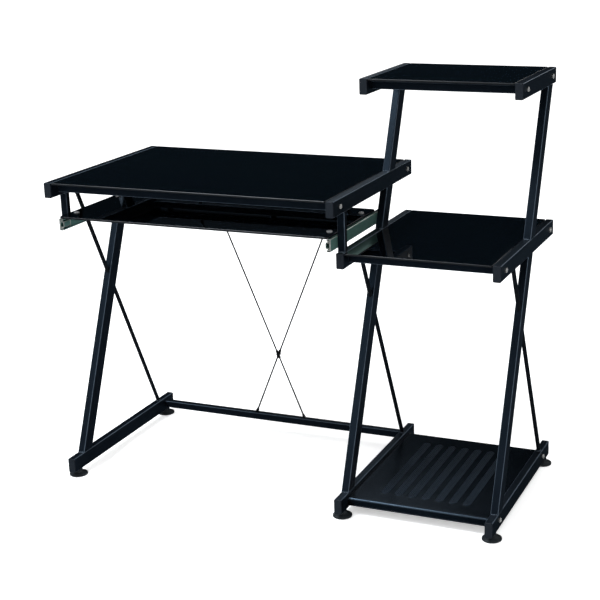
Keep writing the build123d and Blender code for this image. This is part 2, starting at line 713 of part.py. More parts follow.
slide_screws = []
bumpers = []
bracket_rivets = []
for side, (face, way) in zip(("left", "right"), inner_faces):
    with BuildPart() as outer_member:
        add(channel(face, way, 0, outer_reach, outer_half, slide_length, lips=True))
        for y in screw_ys:
            with BuildSketch(Plane.YZ.offset(face)):
                with Locations((y, slide_middle_z)):
                    Circle(screw_hole / 2)
            extrude(amount=way * slide_sheet, mode=Mode.SUBTRACT)
    save(outer_member.part, f"{side}_slide_outer")

    middle_member = [channel(face, way, middle_web, middle_reach, middle_half, member_length)]
    race_near, race_far = middle_web + slide_sheet, middle_reach
    race = race_gap - race_clearance
    start = front_y + slide_front
    for sign in (-1, 1):
        low, high = sorted((sign * middle_half, sign * (middle_half + race)))
        outer_far = outer_reach - slide_sheet - race_clearance
        middle_member.append(strip(face, way, race_near, outer_far, low, high, start, member_length))
        low, high = sorted((sign * (middle_half - slide_sheet), sign * (middle_half - slide_sheet - race)))
        middle_member.append(strip(face, way, inner_reach, race_far, low, high, start, member_length))
    group(middle_member, f"{side}_slide_middle")

    with BuildPart() as inner_member:
        add(channel(face, way, slide_width, inner_reach, inner_half, member_length))
        for y in rivet_ys:
            with BuildSketch(Plane.YZ.offset(face + way * slide_width)):
                with Locations((y, slide_middle_z)):
                    Circle(rivet_diameter / 2 + thread_clearance)
            extrude(amount=-way * slide_sheet, mode=Mode.SUBTRACT)
    save(inner_member.part, f"{side}_slide_inner")

    plate_far = slide_width + bracket_sheet
    under = tray_underside - slide_middle_z
    bracket_start = front_y + bracket_front
    with BuildPart() as bracket:
        add(strip(face, way, slide_width, plate_far, under - bracket_drop, under,
                  bracket_start, bracket_length))
        add(strip(face, way, slide_width, bracket_reach, under - bracket_sheet, under,
                  bracket_start, bracket_length))
        for y in rivet_ys:
            with BuildSketch(Plane.YZ.offset(face + way * slide_width)):
                with Locations((y, slide_middle_z)):
                    Circle(rivet_diameter / 2 + thread_clearance)
            extrude(amount=way * bracket_sheet, mode=Mode.SUBTRACT)
        with BuildSketch(Plane.XY.offset(tray_underside)):
            with Locations(*[(face + way * tray_bolt_inset, y) for y in tray_bolt_ys]):
                Circle(bolt_hole / 2)
        extrude(amount=-bracket_sheet, mode=Mode.SUBTRACT)
    save(bracket.part, f"{side}_tray_bracket")

    for y in rivet_ys:
        with BuildPart() as rivet:
            web_inside = slide_width - slide_sheet
            for near, far, diameter in ((web_inside - rivet_head_height, web_inside, rivet_head),
                                        (web_inside, plate_far, rivet_diameter),
                                        (plate_far, plate_far + rivet_head_height, rivet_head)):
                with BuildSketch(Plane.YZ.offset(face + way * near)):
                    with Locations((y, slide_middle_z)):
                        Circle(diameter / 2)
                extrude(amount=way * (far - near))
        bracket_rivets.append(rivet.part)
    for y in screw_ys:
        with BuildPart() as screw:
            with BuildSketch(Plane.YZ.offset(face + way * slide_sheet)):
                with Locations((y, slide_middle_z)):
                    Circle(screw_head_diameter / 2)
            extrude(amount=way * screw_head_height)
            with BuildSketch(Plane.YZ.offset(face + way * slide_sheet)):
                with Locations((y, slide_middle_z)):
                    Circle(screw_diameter / 2)
            extrude(amount=-way * screw_length)
        slide_screws.append(screw.part)
    bumpers.append(strip(face, way, slide_sheet, outer_reach - slide_sheet - race_clearance,
                         -middle_half, middle_half, front_y + slide_front + member_length, bumper_length))
group(slide_screws, "slide_screws")
group(bumpers, "slide_bumpers")
group(bracket_rivets, "bracket_rivets")
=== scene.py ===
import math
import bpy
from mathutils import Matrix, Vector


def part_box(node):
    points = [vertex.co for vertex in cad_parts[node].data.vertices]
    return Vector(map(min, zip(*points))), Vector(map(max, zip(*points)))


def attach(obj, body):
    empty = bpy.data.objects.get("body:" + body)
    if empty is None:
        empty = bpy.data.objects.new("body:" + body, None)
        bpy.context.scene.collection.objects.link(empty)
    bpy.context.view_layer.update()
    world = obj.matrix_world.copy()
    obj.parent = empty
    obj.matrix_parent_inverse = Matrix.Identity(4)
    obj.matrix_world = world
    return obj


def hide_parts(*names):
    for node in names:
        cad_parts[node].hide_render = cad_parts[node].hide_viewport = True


bl_info = {
    "name": "Computer desk with keyboard tray",
    "version": (1, 0, 0),
    "blender": (4, 5, 0),
    "location": "View3D > Sidebar > Desk",
    "description": "Builds the tubes, glass, slides, feet and finishes of a steel and glass desk",
    "category": "Object",
}

import bmesh
import bpy
import numpy as np
from bpy.props import FloatProperty, FloatVectorProperty, IntProperty, PointerProperty
from mathutils import Matrix, Vector

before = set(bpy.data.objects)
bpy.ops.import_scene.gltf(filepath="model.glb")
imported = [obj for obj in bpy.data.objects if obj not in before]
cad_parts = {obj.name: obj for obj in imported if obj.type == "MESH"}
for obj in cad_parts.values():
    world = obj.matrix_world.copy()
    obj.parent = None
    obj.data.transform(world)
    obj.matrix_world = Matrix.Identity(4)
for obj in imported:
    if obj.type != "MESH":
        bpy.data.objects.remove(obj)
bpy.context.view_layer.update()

X, Y, Z = np.eye(3)
SIDES = ("left", "middle", "right")
FEET = [f"{side}_{end}_foot" for side in SIDES for end in ("front", "rear")]
RAILS = [f"{side}_{level}_rail" for side, levels in (("left", ("desk", "foot")),
                                                     ("middle", ("desk", "shelf", "top", "foot")),
                                                     ("right", ("shelf", "top", "foot"))) for level in levels]
CROSS_RAILS = [f"{level}_{end}_rail" for level in ("desk", "shelf", "top") for end in ("front", "rear")]
CROSS_RAILS.append("rear_stretcher")
UPRIGHTS = {"left": ["left_leg", "left_tray_post"],
            "middle": ["middle_lower_leg", "middle_leg_link", "middle_upper_leg", "middle_tray_post"],
            "right": ["right_lower_leg", "right_upper_leg"]}


def box(node):
    """Lowest and highest corner of a CAD node, as arrays in metres."""
    low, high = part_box(node)
    return np.array(low), np.array(high)


def slope(reach, rise, depth):
    """Lean of a bar that covers reach front to rear over rise, where depth is its thickness across its length:
    the positive k with reach = k * rise + depth * sqrt(1 + k * k)."""
    a, b, c = rise ** 2 - depth ** 2, reach * rise, reach ** 2 - depth ** 2
    return (b - math.sqrt(b * b - a * c)) / a


# ---- sizes and colours a user may change ----


def length(name, description, default):
    """A length property in metres."""
    return FloatProperty(name=name, description=description, default=default, min=0.0, unit="LENGTH", precision=5)


def colour(name, description, default):
    """A colour property."""
    return FloatVectorProperty(name=name, description=description, default=default, size=3, min=0.0, max=1.0,
                               subtype="COLOR")


class DeskSizes(bpy.types.PropertyGroup):
    tube_corner: length("Tube corner", "Outside corner radius of the side frame tubes", 0.0024)
    cross_corner: length("Cross rail corner", "Outside corner radius of the square cross rails", 0.0020)
    tube_wall: length("Tube wall", "Wall thickness of all steel tubes", 0.0012)
    bead_radius: length("Weld bead", "Radius of a weld bead", 0.0014)
    cap_round: length("Cap edge", "Rounding of an end cap's outer edge", 0.0009)
    glass_corner: length("Glass corner", "Corner radius of the desk and shelf glass", 0.003)
    tray_corner: length("Tray corner", "Corner radius of the tray glass", 0.008)
    glass_edge: length("Ground edge", "How far the ground edge of the glass is drawn in", 0.0012)
    pad_inset: length("Pad inset", "Middle of a glass pad in from the end of its cross rail", 0.045)
    rod_top: length("Rod top", "Upper end of a cross rod from the middle of the desk", 0.209)
    rod_foot: length("Rod foot", "Lower end of a cross rod from the middle of the desk", 0.071)
    rod_radius: length("Rod radius", "Radius of a cross rod", 0.002)
    rod_lap: length("Rod lap", "Front to rear distance between the two cross rods", 0.0046)
    shelf_sheet: length("Shelf sheet", "Sheet thickness of the bottom shelf", 0.0015)
    nose_radius: length("Nose radius", "Radius of the bottom shelf's rolled front edge", 0.007)
    rib_pitch: length("Rib pitch", "Distance between the middles of two ribs", 0.033)
    rib_width: length("Rib width", "Width of a rib at its foot", 0.020)
    rib_height: length("Rib height", "Height of a rib above the sheet", 0.001)
    rib_margin: length("Rib margin", "Flat border ahead of and behind the ribs", 0.048)
    hole_pitch: length("Hole pitch", "Distance between two holes in a rib", 0.0045)
    hole_radius: length("Hole radius", "Radius of a hole in a rib", 0.0013)
    rib_count: IntProperty(name="Ribs", description="Number of ribs in the bottom shelf", default=7, min=1)
    slide_sheet: length("Slide sheet", "Sheet thickness of the slide members", 0.0012)
    slide_fold: length("Slide fold", "Radius of a fold in a slide member", 0.0021)
    ball_radius: length("Ball radius", "Radius of a ball in the slides", 0.00115)
    ball_pitch: length("Ball pitch", "Distance between two balls", 0.012)
    bracket_sheet: length("Bracket sheet", "Sheet thickness of the tray brackets", 0.0015)
    thread_pitch: length("Thread pitch", "Pitch of the levelling stud's thread", 0.00125)


class DeskColours(bpy.types.PropertyGroup):
    coat: colour("Powder coat", "Side frames and cross rails", (0.0030, 0.0044, 0.0070))
    # painted highlight, partly edge wear: a pale colour mixed onto the tubes' rounded corners, the weld bead
    # ripples and the bottom shelf's rolled nose
    coat_edge_wear_and_highlight: colour("Powder coat edge", "Rounded tube edges where the coat is thin", (0.080, 0.105, 0.135))
    cap: colour("End cap", "Plastic end caps", (0.0090, 0.0135, 0.0200))
    glass: colour("Glass", "Black tempered glass", (0.0006, 0.0012, 0.0020))
    glass_edge: colour("Ground edge", "Ground edge of the glass", (0.007, 0.009, 0.012))
    shelf: colour("Bottom shelf", "Pressed steel shelf", (0.0020, 0.0030, 0.0044))
    zinc: colour("Zinc", "Zinc plated slides and brackets", (0.19, 0.34, 0.315))
    chrome: colour("Chrome", "Tray bolts", (0.95, 0.96, 0.97))
    nickel: colour("Dark nickel", "Bolts and nuts", (0.62, 0.62, 0.60))
    foot: colour("Foot", "Moulded levelling feet", (0.017, 0.022, 0.026))
    rubber: colour("Rubber", "Pads and bumpers", (0.006, 0.006, 0.007))
    clip: colour("Clip plastic", "Rod clip, inserts and ball cages", (0.005, 0.005, 0.006))
    rod: colour("Rod", "Cross rods", (0.003, 0.0035, 0.005))


def sizes():
    """The sizes in use."""
    return bpy.context.scene.desk_sizes


def colours(name):
    """One of the colours in use."""
    return tuple(getattr(bpy.context.scene.desk_colours, name))


# ---- surfaces ----

RIPPLE = 0.13                   # height of a weld bead's ripples, as a share of its radius
SHARP_ANGLE = math.radians(38)  # edges that turn by more stay sharp
WELD_DISTANCE = 1e-6            # points nearer than this are one point


def at(origin, axes, a, b, c):
    """Points origin + a * axes[0] + b * axes[1] + c * axes[2], for arrays a, b and c that broadcast together."""
    a, b, c = np.broadcast_arrays(a, b, c)
    return np.asarray(origin) + a[..., None] * axes[0] + b[..., None] * axes[1] + c[..., None] * axes[2]


def surface(points, around=True, loop=False, ends=False):
    """A patch over a grid of points, rows by columns: its points, its quads and its end faces.
    around joins the last column to the first, loop the last row to the first, and ends closes both end rows."""
    rows, n = points.shape[:2]
    i = np.arange(rows if loop else rows - 1)[:, None]
    j = np.arange(n if around else n - 1)[None, :]
    k, m = (i + 1) % rows, (j + 1) % n
    quads = np.stack(np.broadcast_arrays(i * n + j, i * n + m, k * n + m, k * n + j), -1).reshape(-1, 4)
    caps = [np.arange(n), (rows - 1) * n + np.arange(n)] if ends else []
    return points.reshape(-1, 3), quads, caps


def outline(width, depth, radius, steps=4, support=0.0004):
    """Points (a, b) round a rectangle with quarter-circle corners, centred on 0: each corner is its centre plus
    radius * (cos t, sin t) over a quarter turn, with one more point on the flat at either side."""
    start = np.arange(4) * np.pi / 2
    t = start[:, None] + np.linspace(0, np.pi / 2, steps + 1)
    signs = np.stack([np.sign(np.cos(start + np.pi / 4)), np.sign(np.sin(start + np.pi / 4))], -1)
    centre = signs * (width / 2 - radius, depth / 2 - radius)
    bend = centre[:, None] + radius * np.stack([np.cos(t), np.sin(t)], -1)
    before = bend[:, :1] + support * np.stack([np.sin(t[:, :1]), -np.cos(t[:, :1])], -1)
    after = bend[:, -1:] + support * np.stack([-np.sin(t[:, -1:]), np.cos(t[:, -1:])], -1)
    return np.concatenate([before, bend, after], 1).reshape(-1, 2)


def tube(width, depth, radius, origin, axes):
    """Wall of a straight tube with rounded corners: the outer outline runs from origin to origin + axes[2],
    and the inner one, a wall thickness inside it, runs back."""
    wall = sizes().tube_wall
    inner = outline(width - 2 * wall, depth - 2 * wall, max(radius - wall, wall / 2))
    outer = outline(width, depth, radius)
    rings = np.stack([outer, outer, inner, inner])
    return surface(at(origin, axes, rings[..., 0], rings[..., 1], np.array([0, 1, 1, 0])[:, None]), loop=True)


def slab(width, depth, corner, insets, heights, origin, axes, steps=4):
    """A plate with rounded corners: outlines stacked along axes[2] at the heights, each drawn in by its inset."""
    rings = np.stack([outline(width - 2 * s, depth - 2 * s, max(corner - s, 0.0002), steps) for s in insets])
    return surface(at(origin, axes, rings[..., 0], rings[..., 1], np.asarray(heights)[:, None]), ends=True)


def lathe(radii, heights, origin, axes, count=24, hexed=0.0):
    """A turned shape: radius * (cos t, sin t) at each height along axes[2]. radii may also vary with the turn.
    Where hexed is 1 the ring is a hexagon with that radius to its corners, and a circle where it is 0."""
    t = np.arange(count) * 2 * np.pi / count
    flat = math.cos(math.pi / 6) / np.cos((t % (np.pi / 3)) - np.pi / 6)
    mixed = 1 + np.broadcast_to(np.asarray(hexed, float), len(heights))[:, None] * (flat - 1)
    r = np.asarray(radii, float)
    r = (r[:, None] if r.ndim == 1 else r) * mixed
    return surface(at(origin, axes, r * np.cos(t), r * np.sin(t), np.asarray(heights, float)[:, None]), ends=True)


def arc(r0, h0, r1, h1, steps=5):
    """Quarter of an ellipse from (r0, h0), where it is upright, to (r1, h1), where it is level."""
    t = np.linspace(0, np.pi / 2, steps)
    return r1 + (r0 - r1) * np.cos(t), h0 + (h1 - h0) * np.sin(t)


def across(way):
    """Two unit vectors at right angles to a way and to each other."""
    way = np.asarray(way) / np.linalg.norm(way)
    u = np.cross(way, X if abs(way[0]) < 0.9 else Y)
    u /= np.linalg.norm(u)
    return u, np.cross(way, u)


def cut_ring(origin, way, radius, normal, point, count=28):
    """Where a round bar about origin + s * way meets a plane: each line of its skin is followed along way by
    s = ((point - start) . normal) / (way . normal)."""
    u, v = across(way)
    t = np.arange(count)[:, None] * 2 * np.pi / count
    skin = origin + radius * (np.cos(t) * u + np.sin(t) * v)
    return skin + (((point - skin) @ normal) / (way @ normal))[:, None] * way


def bar(origin, way, radius, low, high):
    """A round bar between two planes, each given as (normal, point)."""
    return surface(np.stack([cut_ring(origin, way, radius, *plane) for plane in (low, high)]), ends=True)


def straight_bead(start, end, u, v, radius, ripples=9):
    """A weld bead about the line from start to end, with the radius
    radius * (1 - (2t - 1)^6)^(1/2) * (1 + RIPPLE sin(2 pi ripples t))."""
    t = np.linspace(0, 1, 41)[:, None]
    size = radius * np.sqrt(np.clip(1 - (2 * t - 1) ** 6, 0, 1)) * (1 + RIPPLE * np.sin(2 * np.pi * ripples * t))
    p = np.arange(10) * 2 * np.pi / 10
    bow = (size * np.cos(p))[..., None] * u + (size * np.sin(p))[..., None] * v
    return surface((start + t * (end - start))[:, None] + bow, ends=True)


def ring_bead(ring, normal, radius, ripples=14):
    """A weld bead round a closed flat ring: radius * (1 + RIPPLE sin(ripples t)) towards the outside and the
    normal."""
    t = np.arange(len(ring))[:, None] * 2 * np.pi / len(ring)
    outward = ring - ring.mean(0)
    outward /= np.linalg.norm(outward, axis=1)[:, None]
    size = radius * (1 + RIPPLE * np.sin(ripples * t))
    p = np.arange(8) * 2 * np.pi / 8
    bow = (size * np.cos(p))[..., None] * outward[:, None] + (size * np.sin(p))[..., None] * normal
    return surface(ring[:, None] + bow, loop=True)


def rounded(line, radius, steps=5):
    """A line of square corners with each corner P turned into the quarter circle
    P + radius * ((1 - cos t) * next way - (1 - sin t) * last way)."""
    line = np.asarray(line, float)
    way = np.diff(line, axis=0)
    way /= np.linalg.norm(way, axis=1)[:, None]
    t = np.linspace(0, np.pi / 2, steps)[None, :, None]
    last, following = way[:-1, None], way[1:, None]
    corners = line[1:-1, None] + radius * ((1 - np.cos(t)) * following - (1 - np.sin(t)) * last)
    return np.concatenate([line[:1], corners.reshape(-1, 2), line[-1:]])


def folded(line, thickness, origin, axes):
    """A folded strip of sheet: the line moved half a thickness to either side, carried along axes[2]."""
    way = np.diff(line, axis=0)
    way /= np.linalg.norm(way, axis=1)[:, None]
    middle = way[:-1] + way[1:]
    tangent = np.concatenate([way[:1], middle / np.linalg.norm(middle, axis=1)[:, None], way[-1:]])
    side = np.stack([-tangent[:, 1], tangent[:, 0]], -1) * thickness / 2
    ring = np.concatenate([line + side, (line - side)[::-1]])
    return surface(at(origin, axes, ring[None, :, 0], ring[None, :, 1], np.array([[0], [1]])), ends=True)


def punched(points, i, j, radius):
    """A sheet over a grid of points with round holes, each in the four quads about the grid point (i + 1, j + 1):
    its eight corners are that point plus radius * (cos t, sin t), each joined to the nearest point of the grid."""
    n = points.shape[1]
    sheet, quads, _ = surface(points, around=False)
    di = np.array([0, 0, 0, 1, 2, 2, 2, 1])
    dj = np.array([0, 1, 2, 2, 2, 1, 0, 0])
    ring = (i[:, None] + di) * n + j[:, None] + dj
    turn = np.arctan2(di - 1, dj - 1)
    rim = points[i + 1, j + 1][:, None] + radius * np.stack([np.cos(turn), np.sin(turn), 0 * turn], -1)
    rim_index = len(sheet) + np.arange(len(i) * 8).reshape(-1, 8)
    holes = np.stack([ring, np.roll(ring, -1, 1), np.roll(rim_index, -1, 1), rim_index], -1).reshape(-1, 4)
    taken = np.zeros((len(points) - 1, n - 1), bool)
    for a in (0, 1):
        for b in (0, 1):
            taken[i + a, j + b] = True
    quads = np.concatenate([quads[~taken.ravel()], holes])
    used, renumbered = np.unique(quads, return_inverse=True)
    return np.concatenate([sheet, rim.reshape(-1, 3)])[used], renumbered.reshape(-1, 4), []


def ball(centres, radius):
    """Small balls: centre + radius * (cos a cos b, cos a sin b, sin a), six rows of eight faces each."""
    a = np.linspace(-np.pi / 2, np.pi / 2, 7)[:, None]
    b = np.arange(8) * np.pi / 4
    shape = np.stack(np.broadcast_arrays(np.cos(a) * np.cos(b), np.cos(a) * np.sin(b), np.sin(a) + 0 * b), -1)
    points, quads, _ = surface(radius * shape)
    centres = np.asarray(centres)
    all_points = (centres[:, None] + points[None]).reshape(-1, 3)
    all_quads = (quads[None] + len(points) * np.arange(len(centres))[:, None, None]).reshape(-1, 4)
    return all_points, all_quads, []


def piece(name, patches, finish, body, replaces=(), sheet=0.0):
    """One finished object from its patches: seams and poles are welded, faces turned outwards, and sharp edges
    kept. sheet gives an upward-facing open surface its thickness."""
    offsets = np.cumsum([0] + [len(points) for points, _, _ in patches])
    faces = np.concatenate([quads + o for (_, quads, _), o in zip(patches, offsets)]).tolist()
    faces += [(cap + o).tolist() for (_, _, caps), o in zip(patches, offsets) for cap in caps]
    mesh = bpy.data.meshes.new(name)
    mesh.from_pydata(np.concatenate([points for points, _, _ in patches]).tolist(), [], faces)
    bm = bmesh.new()
    bm.from_mesh(mesh)
    bmesh.ops.remove_doubles(bm, verts=bm.verts, dist=WELD_DISTANCE)
    bmesh.ops.recalc_face_normals(bm, faces=bm.faces)
    if sheet and sum(f.normal.z * f.calc_area() for f in bm.faces) < 0:
        bmesh.ops.reverse_faces(bm, faces=bm.faces)
    bm.to_mesh(mesh)
    bm.free()
    mesh.shade_smooth()
    mesh.set_sharp_from_angle(angle=SHARP_ANGLE)
    obj = bpy.data.objects.new(name, mesh)
    bpy.context.scene.collection.objects.link(obj)
    mesh.materials.append(material(finish))
    if sheet:
        wall = obj.modifiers.new("Sheet thickness", "SOLIDIFY")
        wall.thickness, wall.offset = sheet, -1.0
    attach(obj, body)
    if replaces:
        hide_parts(*replaces)
    return obj


# ---- finishes ----


class Wire:
    """A socket of a finish, with arithmetic: each operator adds one Math node to the finish."""

    def __init__(self, finish, socket):
        self.finish, self.socket = finish, socket

    def math(self, operation, *values):
        return self.finish.add("ShaderNodeMath", dict(enumerate(values)), operation=operation)

    def __add__(self, other):
        return self.math("ADD", self, other)

    __radd__ = __add__

    def __mul__(self, other):
        return self.math("MULTIPLY", self, other)

    __rmul__ = __mul__

    def __sub__(self, other):
        return self.math("SUBTRACT", self, other)

    def __rsub__(self, other):
        return self.math("SUBTRACT", other, self)

    def span(self, low, high):
        """0 below low and 1 above high, with a smooth rise between."""
        values = {"Value": self, "From Min": low, "From Max": high}
        return self.finish.add("ShaderNodeMapRange", values, interpolation_type="SMOOTHSTEP")


class Finish:
    """A material under construction: one Principled shader and the nodes that feed it."""

    def __init__(self, name, **constants):
        self.material = bpy.data.materials.new(name)
        self.material.use_nodes = True
        self.tree = self.material.node_tree
        self.shader = self.tree.nodes["Principled BSDF"]
        self.set(**constants)

    def add(self, kind, values=(), output=0, **settings):
        """Adds a node: first its settings, then the values or links of its sockets. Gives one of its outputs."""
        node = self.tree.nodes.new(kind)
        for key, value in settings.items():
            setattr(node, key, value)
        for key, value in dict(values).items():
            self.join(node.inputs[key], value)
        return Wire(self, node.outputs[output])

    def join(self, socket, value):
        if isinstance(value, Wire):
            self.tree.links.new(value.socket, socket)
        else:
            socket.default_value = value

    def set(self, **values):
        """Sets or feeds the shader's sockets, named in lower case with underscores."""
        for key, value in values.items():
            words = key.replace("_", " ")
            socket = next(s for s in self.shader.inputs if s.name.lower() == words)
            if not isinstance(value, Wire) and socket.type == "RGBA":
                value = (*value[:3], 1.0)
            self.join(socket, value)

    def place(self, stretch=(1, 1, 1)):
        """Object coordinates, stretched along each axis."""
        where = self.add("ShaderNodeTexCoord", output="Object")
        return self.add("ShaderNodeVectorMath", {0: where, 1: stretch}, operation="MULTIPLY")

    def noise(self, scale, detail=3.0, roughness=0.5, stretch=(1, 1, 1)):
        values = {"Vector": self.place(stretch), "Scale": scale, "Detail": detail, "Roughness": roughness}
        return self.add("ShaderNodeTexNoise", values, output="Fac")

    def parts(self, vector):
        """The three parts of a vector."""
        split = self.add("ShaderNodeSeparateXYZ", {"Vector": vector})
        return [Wire(self, s) for s in split.socket.node.outputs]

    def normal(self):
        """The three parts of the surface's own direction."""
        return self.parts(self.add("ShaderNodeNewGeometry", output="Normal"))

    def mix(self, share, a, b):
        """Colour a where share is 0 and b where it is 1."""
        colour_of = [c if isinstance(c, Wire) else (*c[:3], 1.0) for c in (a, b)]
        return self.add("ShaderNodeMix", {0: share, 6: colour_of[0], 7: colour_of[1]}, output=2, data_type="RGBA")

    def shades(self, share, base, dark, light):
        """A colour, dark times itself where share is 0 and light times itself where share is 1."""
        return self.mix(share, shade(base, dark), shade(base, light))

    def bump(self, height, distance, strength=1.0):
        values = {"Height": height, "Distance": distance, "Strength": strength}
        self.set(normal=self.add("ShaderNodeBump", values))


COOL_SHEEN = (0.50, 0.74, 1.0)      # tint of the coat's highlights
# painted highlight, with bare metal on the cut ends: near white for the slides' cut ends and folds
BARE_METAL_AND_HIGHLIGHT = (0.88, 0.88, 0.82)     # cut and folded edges of the zinc plate


def shade(colour_value, factor):
    """A colour made darker or lighter by a factor."""
    return tuple(min(1.0, c * factor) for c in colour_value)


def powder_coat(name, corner_of):
    """Satin powder coat: a fine orange-peel skin with slow clouds in its gloss, and the rounded corners painted
    paler: painted highlight along the edges, mixed with some edge wear. corner_of is yz for a tube along X, whose
    corners turn from Y to Z, and xx for the tubes of a side frame, whose corners turn from X to any way across it."""
    f = Finish(name, specular_ior_level=0.42, specular_tint=COOL_SHEEN)
    parts = dict(zip("xyz", f.normal()))
    a, b = (parts[p] for p in corner_of)
    rim = (1 - a * a) * a * a * 4 if corner_of == "xx" else a * a * b * b * 4
    clouds, peel = f.noise(14.0, 4.0), f.noise(650.0, 2.0, 0.6)
    specks = f.noise(2600.0, 1.0)
    # painted highlight on the rounded corners, with noise for some edge wear: these are mixed towards the pale
    # edge colour
    corner_wear_and_highlight = rim.span(0.25, 1.0) * (0.45 + 0.75 * f.noise(90.0, 3.0))
    tinted = f.shades(clouds.span(0.3, 0.7), colours("coat"), 0.85, 1.25)
    f.set(base_color=f.mix(corner_wear_and_highlight, tinted, colours("coat_edge_wear_and_highlight")), roughness=0.26 + 0.10 * clouds + 0.06 * specks)
    f.bump(peel + 0.35 * specks, 0.00018, 0.35)
    return f


def round_coat(name, base):
    """Satin coat on round bars and weld beads, with the same skin and no corners."""
    f = Finish(name)
    clouds, peel = f.noise(20.0, 3.0), f.noise(900.0, 2.0, 0.6)
    f.set(base_color=f.shades(clouds, base, 0.8, 1.35), roughness=0.30 + 0.15 * clouds)
    f.bump(peel, 0.00015, 0.3)
    return f


def bead_coat():
    """Coat over a weld bead, glossier where it runs thin over the ripples, with the ripples painted paler towards
    the pale edge colour: painted highlight.
    """
    f = Finish("weld_bead_coat")
    ripple = f.noise(480.0, 2.0)
    # painted highlight: the bead's ripples are mixed towards the pale edge colour
    f.set(base_color=f.mix(ripple.span(0.35, 0.7), shade(colours("coat"), 1.6), shade(colours("coat_edge_wear_and_highlight"), 1.8)),
          roughness=0.18 + 0.18 * ripple)
    f.bump(ripple, 0.0004, 0.5)
    return f


def shelf_coat():
    """Powder coat on pressed sheet, with a coarser skin, and painted paler on top of the ribs and along the nose:
    painted highlight.
    """
    f = Finish("shelf_steel", specular_ior_level=0.4, specular_tint=COOL_SHEEN)
    top = box("bottom_shelf")[1][2]
    _, _, z = f.parts(f.place())
    _, ny, nz = f.normal()
    # painted highlight along the rolled nose, where the surface turns from the front to the top: mixed towards the
    # pale edge colour
    nose = (ny * ny * nz * nz * 4).span(0.2, 0.9) * 0.22
    # painted highlight on top of the ribs: the highest part of the sheet is made paler and a little rougher
    rib_top_highlight = z.span(top - 0.7 * sizes().rib_height, top) * (0.6 + 0.8 * f.noise(260.0, 2.0))
    clouds, peel = f.noise(9.0, 4.0), f.noise(420.0, 2.0, 0.65)
    specks = f.noise(1900.0, 1.0)
    sheet = f.shades(clouds.span(0.3, 0.7), colours("shelf"), 0.8, 1.3)
    f.set(base_color=f.mix(nose, f.mix(rib_top_highlight, sheet, shade(colours("shelf"), 4.5)), colours("coat_edge_wear_and_highlight")),
          roughness=0.15 + 0.09 * clouds + 0.05 * specks + 0.12 * rib_top_highlight)
    f.bump(peel + 0.3 * specks, 0.0002, 0.4)
    return f


def black_glass():
    """Opaque black float glass: a polished face with faint haze, and a matt ground edge all round."""
    f = Finish("black_glass", ior=1.5)
    _, _, up = f.normal()
    edge = (1 - up * up).span(0.25, 0.85)
    haze, grind = f.noise(5.0, 5.0, 0.6), f.noise(1500.0, 2.0, stretch=(1, 1, 4))
    smear = f.noise(38.0, 4.0, 0.7, stretch=(1, 0.35, 1))
    face = f.shades(haze, colours("glass"), 0.85, 1.2)
    polished = 0.015 + 0.045 * haze.span(0.45, 0.8) + 0.03 * smear.span(0.55, 0.8)
    ground = 0.40 + 0.2 * grind
    f.set(base_color=f.mix(edge * (0.7 + 0.4 * grind), face, colours("glass_edge")),
          roughness=edge * ground + (1 - edge) * polished)
    f.bump(grind * edge, 0.00006, 0.4)
    return f


def moulded(name, base, roughness, grain=1100.0):
    """Moulded plastic with a fine spark-eroded grain and slight sink marks."""
    f = Finish(name, specular_ior_level=0.42)
    fine, slow = f.noise(grain, 2.0, 0.6), f.noise(26.0, 3.0)
    f.set(base_color=f.shades(slow, base, 0.85, 1.2), roughness=roughness + 0.16 * fine)
    f.bump(fine + 2.0 * slow, 0.00016, 0.3)
    return f


def zinc_plate():
    """Bright zinc plate: drawn lines along the slide, a pale spangle, a green passivated tint in patches, and the
    cut ends and folds painted near white: bare metal on the cut ends, and painted highlight on both."""
    f = Finish("slide_zinc", metallic=0.72)
    nx, ny, nz = f.normal()
    # painted highlight on the folds and the cut ends, which are also bare metal: both are made near white
    bare_ends_and_highlight = (ny * ny).span(0.4, 0.9) + (nx * nx * nz * nz * 4).span(0.3, 0.9) * 0.8
    lines = f.noise(2200.0, 2.0, 0.6, stretch=(1, 0.02, 1))
    spangle = f.noise(160.0, 3.0, 0.6)
    patches = f.noise(18.0, 3.0)
    warm = shade(colours("zinc"), 1.12)
    green = tuple(a * b for a, b in zip(colours("zinc"), (0.80, 1.0, 0.88)))
    f.set(base_color=f.mix(bare_ends_and_highlight, f.mix(0.6 * patches + 0.4 * spangle, green, warm), BARE_METAL_AND_HIGHLIGHT),
          roughness=0.20 + 0.16 * lines + 0.12 * spangle)
    f.bump(lines, 0.00005, 0.35)
    return f


def polished(name, base, roughness):
    """Plated metal with hairline scratches."""
    f = Finish(name, metallic=0.6)
    hairs, slow = f.noise(900.0, 3.0, 0.7, stretch=(1, 0.2, 1)), f.noise(60.0, 2.0)
    f.set(base_color=f.shades(slow, base, 0.9, 1.0), roughness=roughness + 0.10 * hairs + 0.05 * slow)
    f.bump(hairs, 0.00003, 0.25)
    return f


def soft_rubber():
    """Matt rubber with a chalky bloom."""
    f = Finish("pad_rubber", specular_ior_level=0.3)
    bloom, skin = f.noise(70.0, 4.0, 0.6), f.noise(1300.0, 2.0)
    f.set(base_color=f.shades(bloom.span(0.4, 0.75), colours("rubber"), 1.0, 2.0), roughness=0.72 + 0.18 * skin)
    f.bump(skin, 0.0002, 0.4)
    return f


